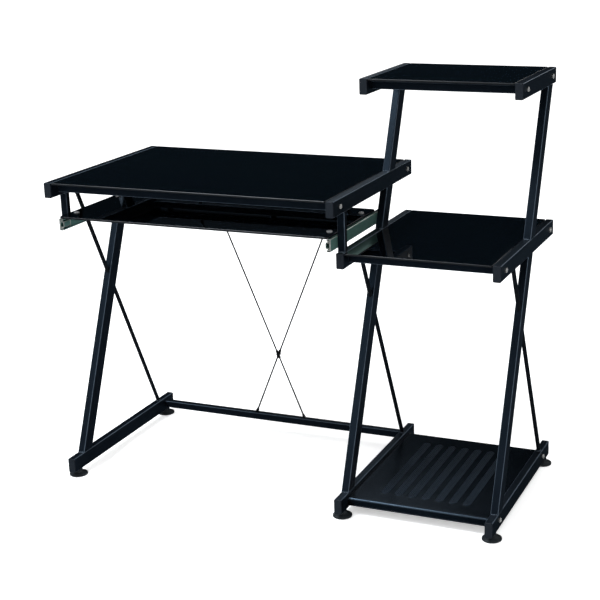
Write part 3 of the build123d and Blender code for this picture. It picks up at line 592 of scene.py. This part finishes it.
FINISHES = {
    "frame_steel": lambda: powder_coat("frame_steel", "xx"),
    "cross_rail_steel": lambda: powder_coat("cross_rail_steel", "yz"),
    "rod_steel": lambda: round_coat("rod_steel", colours("rod")),
    "brace_steel": lambda: round_coat("brace_steel", shade(colours("coat"), 0.9)),
    "weld_bead_coat": bead_coat,
    "shelf_steel": shelf_coat,
    "black_glass": black_glass,
    "cap_plastic": lambda: moulded("cap_plastic", colours("cap"), 0.36),
    "clip_plastic": lambda: moulded("clip_plastic", colours("clip"), 0.42),
    "foot_plastic": lambda: moulded("foot_plastic", colours("foot"), 0.40, 700.0),
    "pad_rubber": soft_rubber,
    "bolt_steel": lambda: polished("bolt_steel", colours("nickel"), 0.16),
    "bright_chrome": lambda: polished("bright_chrome", colours("chrome"), 0.05),
    "slide_zinc": zinc_plate,
}
made_finishes = {}


def material(name):
    """The material of a finish, made once."""
    if name not in made_finishes:
        made_finishes[name] = FINISHES[name]().material
    return made_finishes[name]


# ---- where the parts stand ----


def leg_lean():
    """Rearward travel of the legs for each metre of height, from the lowest and the highest length of one leg."""
    low, high = box("middle_lower_leg")[0], box("middle_upper_leg")[0]
    return (high[1] - low[1]) / (high[2] - low[2])


def upright(node):
    """A leg's or post's box, its lean, and its front to rear size at any one height."""
    low, high = box(node)
    lean = 0.0 if node.endswith("post") else leg_lean()
    return low, high, lean, high[1] - low[1] - lean * (high[2] - low[2])


def brace_line(side):
    """A brace's way, its middle on the foot rail, its radius, and its top height."""
    low, high = box(f"{side}_brace")
    width = high[0] - low[0]
    lean = slope(high[1] - low[1], high[2] - low[2], width)
    way = np.array([0, -lean, 1.0])
    foot = np.array([(low[0] + high[0]) / 2, high[1] - width / 2 * math.hypot(1, lean), low[2]])
    return way / np.linalg.norm(way), foot, width / 2, high[2]


class DeskOperator(bpy.types.Operator):
    """Shared options of the desk's operators."""

    bl_options = {"REGISTER", "UNDO"}


class DESK_OT_side_frames(DeskOperator):
    """Builds the rounded tubes of the three side frames: rails, leaning legs and tray posts"""

    bl_idname = "desk.side_frames"
    bl_label = "Side frames"

    def execute(self, context):
        corner = sizes().tube_corner
        tubes = {}
        for node in RAILS:
            low, high = box(node)
            width, run, depth = high - low
            middle = (low + high) / 2
            middle[1] = low[1]
            tubes[node] = tube(width, depth, corner, middle, (X, Z, run * Y))
        for node in sorted(sum(UPRIGHTS.values(), []), key=lambda name: name.endswith("post")):
            low, high, lean, run = upright(node)
            rise, stretch = high[2] - low[2], math.hypot(1, lean)
            middle = ((low[0] + high[0]) / 2, low[1] + run / 2, low[2])
            axes = (X, stretch * Y, np.array([0, lean * rise, rise]))
            tubes[node] = tube(high[0] - low[0], run / stretch, corner, middle, axes)
        for node, patch in tubes.items():
            piece(f"{node}_tube", [patch], "frame_steel", "frame", [node])
        return {"FINISHED"}


class DESK_OT_cross_rails(DeskOperator):
    """Builds the square cross rails between the side frames"""

    bl_idname = "desk.cross_rails"
    bl_label = "Cross rails"

    def execute(self, context):
        for node in CROSS_RAILS:
            low, high = box(node)
            run, depth, rise = high - low
            middle = (low + high) / 2
            middle[0] = low[0]
            square = tube(depth, rise, sizes().cross_corner, middle, (Y, Z, run * X))
            piece(f"{node}_tube", [square], "cross_rail_steel", "frame", [node])
        return {"FINISHED"}


class DESK_OT_braces(DeskOperator):
    """Builds the round braces in two lengths each, on either side of the leaning leg"""

    bl_idname = "desk.braces"
    bl_label = "Braces"

    def execute(self, context):
        for side in SIDES:
            way, foot, radius, top = brace_line(side)
            low, _, lean, run = upright(UPRIGHTS[side][0])
            normal = np.array([0, 1, -lean])
            lower = bar(foot, way, radius, (Z, foot), (normal, low + run * Y))
            upper = bar(foot, way, radius, (normal, low), (Z, top * Z))
            piece(f"{side}_brace_bar", [lower, upper], "brace_steel", "frame", [f"{side}_brace"])
        return {"FINISHED"}


class DESK_OT_weld_beads(DeskOperator):
    """Builds the weld beads where legs, posts and braces meet the rails"""

    bl_idname = "desk.weld_beads"
    bl_label = "Weld beads"

    def execute(self, context):
        radius, inset = sizes().bead_radius, sizes().tube_corner * 0.6
        for side in SIDES:
            beads = []
            for node in UPRIGHTS[side]:
                low, high, lean, run = upright(node)
                for z, away in ((low[2], 1), (high[2], -1)):
                    if node == "left_tray_post" and away == 1:
                        continue
                    front = low[1] + lean * (z - low[2])
                    for y in (front, front + run):
                        start = np.array([low[0] + inset, y, z + away * 0.3 * radius])
                        end = np.array([high[0] - inset, *start[1:]])
                        beads.append(straight_bead(start, end, Y, Z, radius))
            way, foot, thickness, top = brace_line(side)
            for z, away in ((foot[2], 1), (top, -1)):
                ring = cut_ring(foot, way, thickness, Z, z * Z, 56)
                beads.append(ring_bead(ring + away * 0.2 * radius * Z, Z, 0.8 * radius))
            piece(f"{side}_weld_beads", beads, "weld_bead_coat", "frame")
        return {"FINISHED"}


class DESK_OT_end_caps(DeskOperator):
    """Builds the moulded caps that close the rails"""

    bl_idname = "desk.end_caps"
    bl_label = "End caps"

    def execute(self, context):
        s = sizes()
        drawn, lift = arc(0.0, 0.0, s.cap_round, s.cap_round, 5)
        caps = []
        rear = box("rail_end_caps")[1][1]
        for node in RAILS:
            low, high = box(node)
            thickness = rear - high[1]
            plan = (high[0] - low[0], high[2] - low[2], s.tube_corner)
            edge = np.concatenate([[0.0], drawn, [s.cap_round + 0.0005]])
            height = np.concatenate([[0.0], thickness - s.cap_round + lift, [thickness]])
            plug_w, plug_d = plan[0] - 2.2 * s.tube_wall, plan[1] - 2.2 * s.tube_wall
            for y, out in ((low[1], -Y), (high[1], Y)):
                middle = (low + high) / 2
                middle[1] = y
                caps.append(slab(*plan, edge, height, middle, (X, Z, out)))
                caps.append(slab(plug_w, plug_d, s.tube_wall, [0.0006, 0, 0], [-0.008, -0.006, 0], middle,
                                 (X, Z, out)))
        piece("rail_end_caps_moulded", caps, "cap_plastic", "frame", ["rail_end_caps"])
        return {"FINISHED"}


class DESK_OT_cross_rods(DeskOperator):
    """Builds the two thin cross rods with their tapered ferrules, and the clip where they cross"""

    bl_idname = "desk.cross_rods"
    bl_label = "Cross rods and clip"

    def execute(self, context):
        s = sizes()
        rail, stretcher = box("desk_rear_rail"), box("rear_stretcher")
        middle = (rail[0][0] + rail[1][0]) / 2
        ways = {}
        for side, sign in (("left", -1), ("right", 1)):
            lap = sign * s.rod_lap / 2
            top = np.array([middle + sign * s.rod_top, (rail[0][1] + rail[1][1]) / 2 + lap, rail[0][2]])
            foot = np.array([middle - sign * s.rod_foot, (stretcher[0][1] + stretcher[1][1]) / 2 + lap,
                             stretcher[1][2]])
            span = np.linalg.norm(top - foot)
            way = (top - foot) / span
            u, v = across(way)
            r = s.rod_radius
            collar_h = np.array([-0.0015, 0.0, 0.0065, 0.0072, 0.0132, 0.014])
            collar_r = np.array([0, 0, 0, -0.0002, -0.0017, -0.0021]) + 2 * r
            rod = lathe([0, r, r, 0], [-0.004, -0.004, span + 0.004, span + 0.004], foot, (u, v, way), 20)
            lower = lathe(collar_r, collar_h, foot, (u, v, way), 20)
            upper = lathe(collar_r, collar_h, top, (u, -v, -way), 20)
            piece(f"{side}_cross_rod_bar", [rod, lower, upper], "rod_steel", "frame", [f"{side}_cross_rod"])
            share = s.rod_foot / (s.rod_foot + s.rod_top)
            ways[side] = (foot + share * (top - foot), u, v, way)
        r, h, bevel = 1.75 * s.rod_radius, 0.011, 0.0008
        sleeves = [lathe([0, r - 0.0007, r, r, r - 0.0007, 0], [-h, -h, bevel - h, h - bevel, h, h],
                         centre, (u, v, way), 20) for centre, u, v, way in ways.values()]
        low, high = box("rod_clip")
        centre = (low + high) / 2
        hub_r, bore, hub_h = 0.0048, 0.0016, (high[1] - low[1]) / 2
        upper_r = np.array([hub_r, hub_r - bevel, bore, bore, 0])
        upper_h = hub_h - np.array([bevel, 0, 0, 0.0012, 0.0012])
        hub = lathe(np.concatenate([upper_r[::-1], upper_r]), np.concatenate([-upper_h[::-1], upper_h]),
                    centre, (X, Z, -Y), 24)
        piece("rod_clip_moulded", sleeves + [hub], "clip_plastic", "frame", ["rod_clip"])
        rivets = [lathe([0, 0.0015, 0.0015, 0.0011, 0], [-0.001, -0.001, 0.0003, 0.0008, 0.001],
                        centre + out * (hub_h - 0.0008), (X, Z, out), 16) for out in (-Y, Y)]
        piece("rod_clip_rivets", rivets, "bright_chrome", "frame")
        return {"FINISHED"}


class DESK_OT_glass(DeskOperator):
    """Builds the black glass sheets with their ground edges, and the pads under them"""

    bl_idname = "desk.glass"
    bl_label = "Glass and pads"

    def execute(self, context):
        s = sizes()
        t = np.linspace(-np.pi / 2, np.pi / 2, 9)
        drawn = s.glass_edge * (1 - np.cos(t))
        for node in ("desk_glass", "shelf_glass", "top_glass", "tray_glass"):
            body, corner = ("keyboard_tray", s.tray_corner) if node == "tray_glass" else ("frame", s.glass_corner)
            low, high = box(node)
            width, depth, thickness = high - low
            insets = np.concatenate([[s.glass_edge + 0.0004], drawn, [s.glass_edge + 0.0004]])
            heights = np.concatenate([[0], thickness * (1 + np.sin(t)) / 2, [thickness]])
            middle = (low + high) / 2
            middle[2] = low[2]
            sheet = slab(width, depth, corner, insets, heights, middle, (X, Y, Z), 8)
            piece(f"{node}_sheet", [sheet], "black_glass", body, [node])
        pads = []
        for level in ("desk", "shelf", "top"):
            under = box(f"{level}_glass")[0][2]
            for end in ("front", "rear"):
                low, high = box(f"{level}_{end}_rail")
                height = under - high[2]
                radii = [0, 0.0064, 0.007, 0.007, 0.0064, 0]
                heights = [0, 0, 0.0006, height - 0.0006, height, height]
                for x in (low[0] + s.pad_inset, (low[0] + high[0]) / 2, high[0] - s.pad_inset):
                    pads.append(lathe(radii, heights, (x, (low[1] + high[1]) / 2, high[2]), (X, Y, Z), 28))
        piece("glass_pads_soft", pads, "pad_rubber", "frame", ["glass_pads"])
        return {"FINISHED"}


class DESK_OT_bottom_shelf(DeskOperator):
    """Builds the pressed bottom shelf: rolled nose, folded sides and raised ribs with rows of small holes"""

    bl_idname = "desk.bottom_shelf"
    bl_label = "Bottom shelf"

    def execute(self, context):
        s = sizes()
        low, high = box("bottom_shelf")
        top, nose = high[2] - s.rib_height, s.nose_radius
        middle = (low[0] + high[0]) / 2
        half = (high[0] - low[0]) / 2
        # columns of the grid: both edges of each rib, the middles and edges of its holes, and the flats between
        columns = int((s.rib_width - 0.002) // s.hole_pitch)
        centres = (np.arange(s.rib_count) - (s.rib_count - 1) / 2) * s.rib_pitch
        lines = np.concatenate([[-s.rib_width / 2], (np.arange(2 * columns + 1) / 2 - columns / 2) * s.hole_pitch,
                                [s.rib_width / 2]])
        ribs = (centres[:, None] + lines).ravel()
        gaps = (centres[:-1] + centres[1:]) / 2
        border = np.linspace(s.rib_width / 2 + centres[-1], half, 5)[1:]
        across_x = np.sort(np.concatenate([ribs, gaps, border, -border]))
        # rows of the grid: up the front, over the nose, along the ribs and their holes, and down the rear
        first, last = low[1] + s.rib_margin, high[1] - s.rib_margin
        rows = int((last - first - 0.009) // s.hole_pitch)
        start = (first + last) / 2 - rows * s.hole_pitch / 2
        holes_y = start + np.arange(2 * rows + 1) * s.hole_pitch / 2
        ends_y = np.array([0.0, 0.0008, 0.0018, 0.003])
        flat_y = np.concatenate([np.linspace(low[1] + nose + 0.0004, first - 0.002, 4), first + ends_y, holes_y,
                                 (last - ends_y)[::-1], np.linspace(last + 0.002, high[1] - 0.0024, 4)])
        t = np.linspace(0, np.pi / 2, 9)
        roll_y, roll_z = low[1] + nose * (1 - np.cos(t)), top - nose * (1 - np.sin(t))
        bend_y, bend_z = high[1] - 0.002 * (1 - np.sin(t[::2])), top - 0.002 * (1 - np.cos(t[::2]))
        y = np.concatenate([[low[1]] * 3, roll_y, flat_y, bend_y, [high[1]] * 2])
        z = np.concatenate([[low[2], low[2] + 0.006, top - nose - 0.0004], roll_z, np.full(len(flat_y), top),
                            bend_z, [top - 0.008, low[2]]])
        # a rib stands up from its foot over the last millimetre, with round ends
        gx, gy = np.meshgrid(across_x, y)
        reach = (last - first - s.rib_width) / 2
        along = np.clip(np.abs(gy - (first + last) / 2) - reach, 0, None)
        from_rib = np.min(np.hypot(gx[..., None] - centres, along[..., None]), -1)
        raised = s.rib_height * np.clip((s.rib_width / 2 - from_rib) / 0.001, 0, 1)
        points = np.stack([middle + gx, gy, z[:, None] + raised], -1)
        # first row and column of the four quads about each hole, left out near the round ends
        row0 = 3 + len(t) + 4 + len(ends_y)
        i = row0 + 2 * np.arange(rows)
        j = np.searchsorted(across_x, centres - columns / 2 * s.hole_pitch - 1e-7)
        i, j = (a.ravel() for a in np.meshgrid(i, (j[:, None] + 2 * np.arange(columns)).ravel(), indexing="ij"))
        clear = from_rib[i + 1, j + 1] < s.rib_width / 2 - 0.0026
        patches = [punched(points, i[clear], j[clear], s.hole_radius)]
        edge_y, edge_z = y[2:-1], z[2:-1]
        for x in (middle - half, middle + half):
            drop = np.linspace(0, 1, 4)[:, None]
            side_z = edge_z + drop * (low[2] - edge_z)
            side = np.stack(np.broadcast_arrays(x, edge_y[None, :], side_z), -1)
            patches.append(surface(side, around=False))
        piece("bottom_shelf_pressing", patches, "shelf_steel", "frame", ["bottom_shelf"], sheet=s.shelf_sheet)
        return {"FINISHED"}


class DESK_OT_slides(DeskOperator):
    """Builds the members of the telescopic slides with their folds, ball cages and balls"""

    bl_idname = "desk.slides"
    bl_label = "Telescopic slides"

    def execute(self, context):
        s = sizes()
        t = s.slide_sheet
        for side, way in (("left", 1), ("right", -1)):
            low, high = box(f"{side}_slide_outer")
            face = low[0] if way == 1 else high[0]
            far = high[0] - low[0] - t / 2
            middle_z, half = (low[2] + high[2]) / 2, (high[2] - low[2] - t) / 2
            run = high[1] - low[1]
            origin = np.array([face, low[1], middle_z])
            axes = (way * X, Z, run * Y)
            lip = half - 0.0026
            line = [(far, lip), (far, half), (t / 2, half), (t / 2, -half), (far, -half), (far, -lip)]
            self.member(f"{side}_slide_outer", line, origin, axes, "frame")

            low, high = box(f"{side}_slide_inner")
            web = abs((high[0] if way == 1 else low[0]) - face) - t / 2
            edge = abs((low[0] if way == 1 else high[0]) - face)
            inner_half = (high[2] - low[2] - t) / 2
            run = high[1] - low[1]
            axes = (way * X, Z, run * Y)
            line = [(edge, inner_half), (web, inner_half), (web, -inner_half), (edge, -inner_half)]
            self.member(f"{side}_slide_inner", line, origin, axes, "keyboard_tray")

            gap = (half - inner_half - 2 * t) / 2
            middle_half = half - gap - t
            near, edge = 0.0020 + t / 2, 0.0096
            line = [(edge, middle_half), (near, middle_half), (near, -middle_half), (edge, -middle_half)]
            body = f"{side}_slide_carriage"
            self.member(f"{side}_slide_middle", line, origin, axes, body)

            count = int(run / s.ball_pitch) - 1
            balls_y = low[1] + run / 2 + (np.arange(count) - (count - 1) / 2) * s.ball_pitch
            cages, places = [], []
            for sign in (-1, 1):
                for level, at_x in ((middle_half + (gap + t) / 2, 0.0061), (middle_half - (gap + t) / 2, 0.0071)):
                    x = np.full(count, face + way * at_x)
                    z = np.full(count, middle_z + sign * level)
                    places.append(np.stack([x, balls_y, z], -1))
                    middle = np.array([face + way * at_x, low[1] + 0.004, middle_z + sign * level])
                    axes = (X, Z, (run - 0.008) * Y)
                    cages.append(slab(0.0046, 0.0006, 0.00025, [0, 0], [0, 1], middle, axes, 2))
            piece(f"{side}_ball_cages", cages, "clip_plastic", body)
            piece(f"{side}_balls", [ball(np.concatenate(places), s.ball_radius)], "bright_chrome", body)
        return {"FINISHED"}

    def member(self, node, line, origin, axes, body):
        """A member of a slide: sheet folded along a line of square corners and carried along axes[2]."""
        sheet = folded(rounded(line, sizes().slide_fold), sizes().slide_sheet, origin, axes)
        piece(f"{node}_member", [sheet], "slide_zinc", body, [node])


class DESK_OT_tray_fittings(DeskOperator):
    """Builds the tray's folded brackets, their rivets and the domed tray bolts"""

    bl_idname = "desk.tray_fittings"
    bl_label = "Tray brackets and bolts"

    def execute(self, context):
        t = sizes().bracket_sheet
        for side, way in (("left", 1), ("right", -1)):
            low, high = box(f"{side}_tray_bracket")
            face = low[0] if way == 1 else high[0]
            width, run, drop = high - low
            line = [(t / 2, -drop), (t / 2, -t / 2), (width, -t / 2)]
            bracket = folded(rounded(line, 1.4 * t), t, np.array([face, low[1], high[2]]), (way * X, Z, run * Y))
            piece(f"{side}_tray_bracket_fold", [bracket], "slide_zinc", "keyboard_tray", [f"{side}_tray_bracket"])

        low, high = box("bracket_rivets")
        dome = 0.0008
        r, h = arc(0.004, 0.0003, dome, dome, 4)
        rivets = []
        for way, edge in ((1, low[0]), (-1, high[0])):
            inner = box("left_slide_inner" if way == 1 else "right_slide_inner")
            grip = sizes().slide_sheet + t
            middle_z = (inner[0][2] + inner[1][2]) / 2
            for y in (low[1] + 0.004, high[1] - 0.004):
                radii = np.concatenate([[0], r[::-1], [0.002, 0.002], r, [0]])
                heights = np.concatenate([[0], dome - h[::-1], [dome, dome + grip], dome + grip + h,
                                          [2 * dome + grip]])
                rivets.append(lathe(radii, heights, (edge, y, middle_z), (Y, Z, way * X), 20))
        piece("bracket_rivets_domed", rivets, "slide_zinc", "keyboard_tray", ["bracket_rivets"])

        low, high = box("tray_bolts")
        top = box("tray_glass")[1][2]
        head, shank, dome, tip = 0.007, 0.003, high[2] - top, low[2] - top
        r, h = arc(head - 0.0001, 0.0013, 0.0, dome, 12)
        radii = np.concatenate([[0, shank, shank, head - 0.0002, head, head, head - 0.0001], r[:-1], [0]])
        heights = np.concatenate([[tip, tip, 0, 0, 0.0002, 0.0011, 0.0013], h[:-1], [dome]])
        bolts = []
        for x in (low[0] + head, high[0] - head):
            for y in (low[1] + head, high[1] - head):
                bolts.append(lathe(radii, heights, (x, y, top), (X, Y, Z), 32))
        piece("tray_bolts_domed", bolts, "bright_chrome", "keyboard_tray", ["tray_bolts"])
        return {"FINISHED"}


class DESK_OT_frame_bolts(DeskOperator):
    """Builds the dome-headed hex-socket bolts of the cross rails and of the bottom shelf"""

    bl_idname = "desk.frame_bolts"
    bl_label = "Frame bolts"

    def execute(self, context):
        bolts = []
        for node in CROSS_RAILS:
            low, high = box(node)
            bolts += self.pair(low, high, *(low + high)[1:] / 2, 0.030)
        low, high = box("bottom_shelf")
        level = sum(box("middle_foot_rail"))[2] / 2
        for y in (low[1] + 0.020, high[1] - 0.016):
            bolts += self.pair(low, high, y, level, 0.0265)
        piece("frame_bolts_domed", bolts, "bolt_steel", "frame", ["frame_bolts"])
        return {"FINISHED"}

    def pair(self, low, high, y, z, reach):
        """Two bolts in line, through the side frames on either side of a box from low to high."""
        frame_low, frame_high = box("left_foot_rail")
        thickness = frame_high[0] - frame_low[0]
        return [self.bolt((low[0] - thickness, y, z), -X, reach), self.bolt((high[0] + thickness, y, z), X, reach)]

    def bolt(self, place, out, reach):
        """A bolt with its head's seat at place and its head, with a hexagonal socket, on the out side."""
        head, height, shank, socket = 0.0055, 0.0030, 0.003, 0.0023
        r, h = arc(head, 0.0007, 0.0030, height, 7)
        radii = np.concatenate([[0, shank - 0.0003, shank, shank, head - 0.0001, head], r,
                                [socket, socket - 0.0002, socket - 0.0003, 0]])
        heights = np.concatenate([[-reach, -reach, 0.0006 - reach, 0, 0, 0.0002], h,
                                  [height, height - 0.0002, 0.0014, 0.0014]])
        hexed = np.concatenate([np.zeros(6 + len(r)), [1, 1, 1, 0]])
        return lathe(radii, heights, place, (Y, Z * out[0], out), 24, hexed)


class DESK_OT_feet(DeskOperator):
    """Builds the levelling feet: grooved disc, hub and threaded stud"""

    bl_idname = "desk.feet"
    bl_label = "Levelling feet"

    def execute(self, context):
        pitch = sizes().thread_pitch
        for node in FEET:
            low, high = box(node)
            x, y = (low[:2] + high[:2]) / 2
            disc = (high[0] - low[0]) / 2
            seat = box(f"{node.split('_')[0]}_foot_rail")[0][2]
            r, h = arc(disc, 0.0034, disc - 0.0016, 0.0047, 5)
            radii = np.concatenate([[0, disc - 0.0012, disc - 0.0003, disc], r,
                                    disc - np.array([0.0026, 0.0030, 0.0036, 0.0042, 0.0052]),
                                    [0.0118, 0.0104, 0.0100, 0.0100, 0.0096, 0.0060]])
            heights = np.concatenate([[0, 0, 0.0003, 0.0012], h, [0.0048, 0.0043, 0.0043, 0.0049, 0.0051],
                                      [0.0060, 0.0066, 0.0078, seat - 0.0006, seat, seat]])
            shape = lathe(radii, heights, (x, y, 0), (X, Y, Z), 48)
            rows = np.arange(seat - 0.001, high[2], pitch / 4)
            turn = np.arange(20) / 20
            phase = (rows[:, None] / pitch - turn) % 1
            thread = 0.0040 - 0.0007 * (1 - np.abs(2 * phase - 1))
            stud = lathe(thread, rows, (x, y, 0), (X, Y, Z), 20)
            piece(f"{node}_moulding", [shape], "foot_plastic", node, [node])
            piece(f"{node}_stud", [stud], "bolt_steel", node)
        return {"FINISHED"}


class DESK_OT_small_parts(DeskOperator):
    """Gives the nuts, inserts, screws and bumpers their finishes"""

    bl_idname = "desk.small_parts"
    bl_label = "Small parts"

    def execute(self, context):
        finishes = {"cross_rail_inserts": "clip_plastic", "frame_nuts": "bolt_steel", "tray_nuts": "bolt_steel",
                    "slide_screws": "slide_zinc", "slide_bumpers": "pad_rubber"}
        for node, finish in finishes.items():
            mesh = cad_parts[node].data
            mesh.materials.clear()
            mesh.materials.append(material(finish))
        return {"FINISHED"}


# ---- stage ----


def aimed(place, target):
    """An object's placement at place with its -Z towards target."""
    way = Vector(target) - Vector(place)
    return Matrix.Translation(place) @ way.to_track_quat("-Z", "Y").to_matrix().to_4x4()


class DESK_OT_stage(DeskOperator):
    """Sets up the pale floor, the soft boxes, the world and the camera"""

    bl_idname = "desk.stage"
    bl_label = "Stage"

    def execute(self, context):
        scene = context.scene
        scene.view_settings.view_transform = "Standard"
        self.floor()
        self.lights()
        self.surroundings(scene)
        self.camera(scene)
        return {"FINISHED"}

    def camera(self, scene):
        """A long lens ahead of the desk's right end, turned by pan to the left and by dip downwards."""
        data = bpy.data.cameras.new("Camera")
        data.lens, data.sensor_width, data.shift_x = 81.84, 36.0, -1 / 12
        place, pan, dip, roll = (1.30418, -2.849, 1.37618), 22.61, 16.72, -1.39
        camera = bpy.data.objects.new("Camera", data)
        aim = Matrix.Translation(place)
        for angle, axis in ((pan, "Z"), (90 - dip, "X"), (roll, "Z")):
            aim = aim @ Matrix.Rotation(math.radians(angle), 4, axis)
        camera.matrix_world = aim
        scene.collection.objects.link(camera)
        scene.camera = camera

    def floor(self):
        """A flat square that looks pale and shows only faintly in the gloss of the desk. It also gives off a
        little white, to the camera only, so that it stays white under the desk."""
        reach = np.array([-15.0, 15.0])
        corners = at((0, 0, 0), (X, Y, Z), reach[None, :], reach[:, None], 0.0)
        points, quads, _ = surface(corners, around=False)
        mesh = bpy.data.meshes.new("Floor")
        mesh.from_pydata(points.tolist(), [], quads.tolist())
        floor = bpy.data.objects.new("Floor", mesh)
        bpy.context.scene.collection.objects.link(floor)
        f = Finish("Pale floor", roughness=0.9, specular_ior_level=0.0)
        glossy = f.add("ShaderNodeLightPath", output="Is Glossy Ray")
        seen = f.add("ShaderNodeLightPath", output="Is Camera Ray")
        f.set(base_color=f.mix(glossy, (0.93, 0.93, 0.93), (0.030, 0.042, 0.055)), emission_strength=1.0,
              emission_color=f.mix(seen, (0.0, 0.0, 0.0), (0.45, 0.45, 0.45)))
        mesh.materials.append(f.material)

    def lights(self):
        """Five round soft boxes: a large one ahead and to the left, one overhead, one behind, and two on the
        right, ahead and behind. Each has a place, a target, a width, a power and a tint."""
        for name, place, target, size, power, tint in (
                ("Front soft box", (-2.0, -3.9, 2.7), (0, 0, 0.4), 1.8, 13, (0.80, 0.90, 1.0)),
                ("Overhead soft box", (-1.5, -1.3, 3.6), (0, 0, 0.2), 1.6, 110, (0.88, 0.94, 1.0)),
                ("Rear soft box", (-0.9, 2.6, 2.3), (0, 0, 0.7), 1.0, 3, (0.80, 0.90, 1.0)),
                ("Right soft box", (3.4, -1.2, 1.4), (0.2, 0, 0.5), 1.0, 9, (0.95, 0.98, 1.0)),
                ("Far right soft box", (1.3, 3.3, 2.1), (0.2, 0, 0.6), 0.8, 4.5, (0.95, 0.98, 1.0))):
            data = bpy.data.lights.new(name, "AREA")
            data.shape, data.size, data.energy, data.color = "DISK", size, power, tint
            lamp = bpy.data.objects.new(name, data)
            lamp.matrix_world = aimed(place, target)
            bpy.context.scene.collection.objects.link(lamp)

    def surroundings(self, scene):
        """The world: white light, and white behind the floor, but dim to rays from glossy surfaces."""
        world = bpy.data.worlds.new("Studio")
        world.use_nodes = True
        tree = world.node_tree
        background = tree.nodes["Background"]
        path = tree.nodes.new("ShaderNodeLightPath")
        mix = tree.nodes.new("ShaderNodeMix")
        mix.data_type = "RGBA"
        mix.inputs[6].default_value = (1.0, 1.0, 1.0, 1.0)
        mix.inputs[7].default_value = (0.005, 0.009, 0.013, 1.0)
        tree.links.new(path.outputs["Is Glossy Ray"], mix.inputs[0])
        tree.links.new(mix.outputs[2], background.inputs["Color"])
        background.inputs["Strength"].default_value = 1.0
        scene.world = world


class DESK_PT_panel(bpy.types.Panel):
    """Lists the desk's operators and its sizes and colours"""

    bl_idname = "DESK_PT_panel"
    bl_label = "Desk"
    bl_space_type = "VIEW_3D"
    bl_region_type = "UI"
    bl_category = "Desk"

    def draw(self, context):
        for operator in OPERATORS:
            self.layout.operator(operator.bl_idname)
        for group in (context.scene.desk_sizes, context.scene.desk_colours):
            column = self.layout.column()
            for name in group.__annotations__:
                column.prop(group, name)


OPERATORS = (DESK_OT_stage, DESK_OT_side_frames, DESK_OT_cross_rails, DESK_OT_braces, DESK_OT_weld_beads,
             DESK_OT_end_caps, DESK_OT_cross_rods, DESK_OT_glass, DESK_OT_bottom_shelf, DESK_OT_slides,
             DESK_OT_tray_fittings, DESK_OT_frame_bolts, DESK_OT_feet, DESK_OT_small_parts)
CLASSES = (DeskSizes, DeskColours, *OPERATORS, DESK_PT_panel)


def register():
    for cls in CLASSES:
        bpy.utils.register_class(cls)
    bpy.types.Scene.desk_sizes = PointerProperty(type=DeskSizes)
    bpy.types.Scene.desk_colours = PointerProperty(type=DeskColours)


def unregister():
    del bpy.types.Scene.desk_colours
    del bpy.types.Scene.desk_sizes
    for cls in reversed(CLASSES):
        bpy.utils.unregister_class(cls)


def main():
    register()
    for operator in OPERATORS:
        group, name = operator.bl_idname.split(".")
        getattr(getattr(bpy.ops, group), name)()


if __name__ == "__main__":
    main()
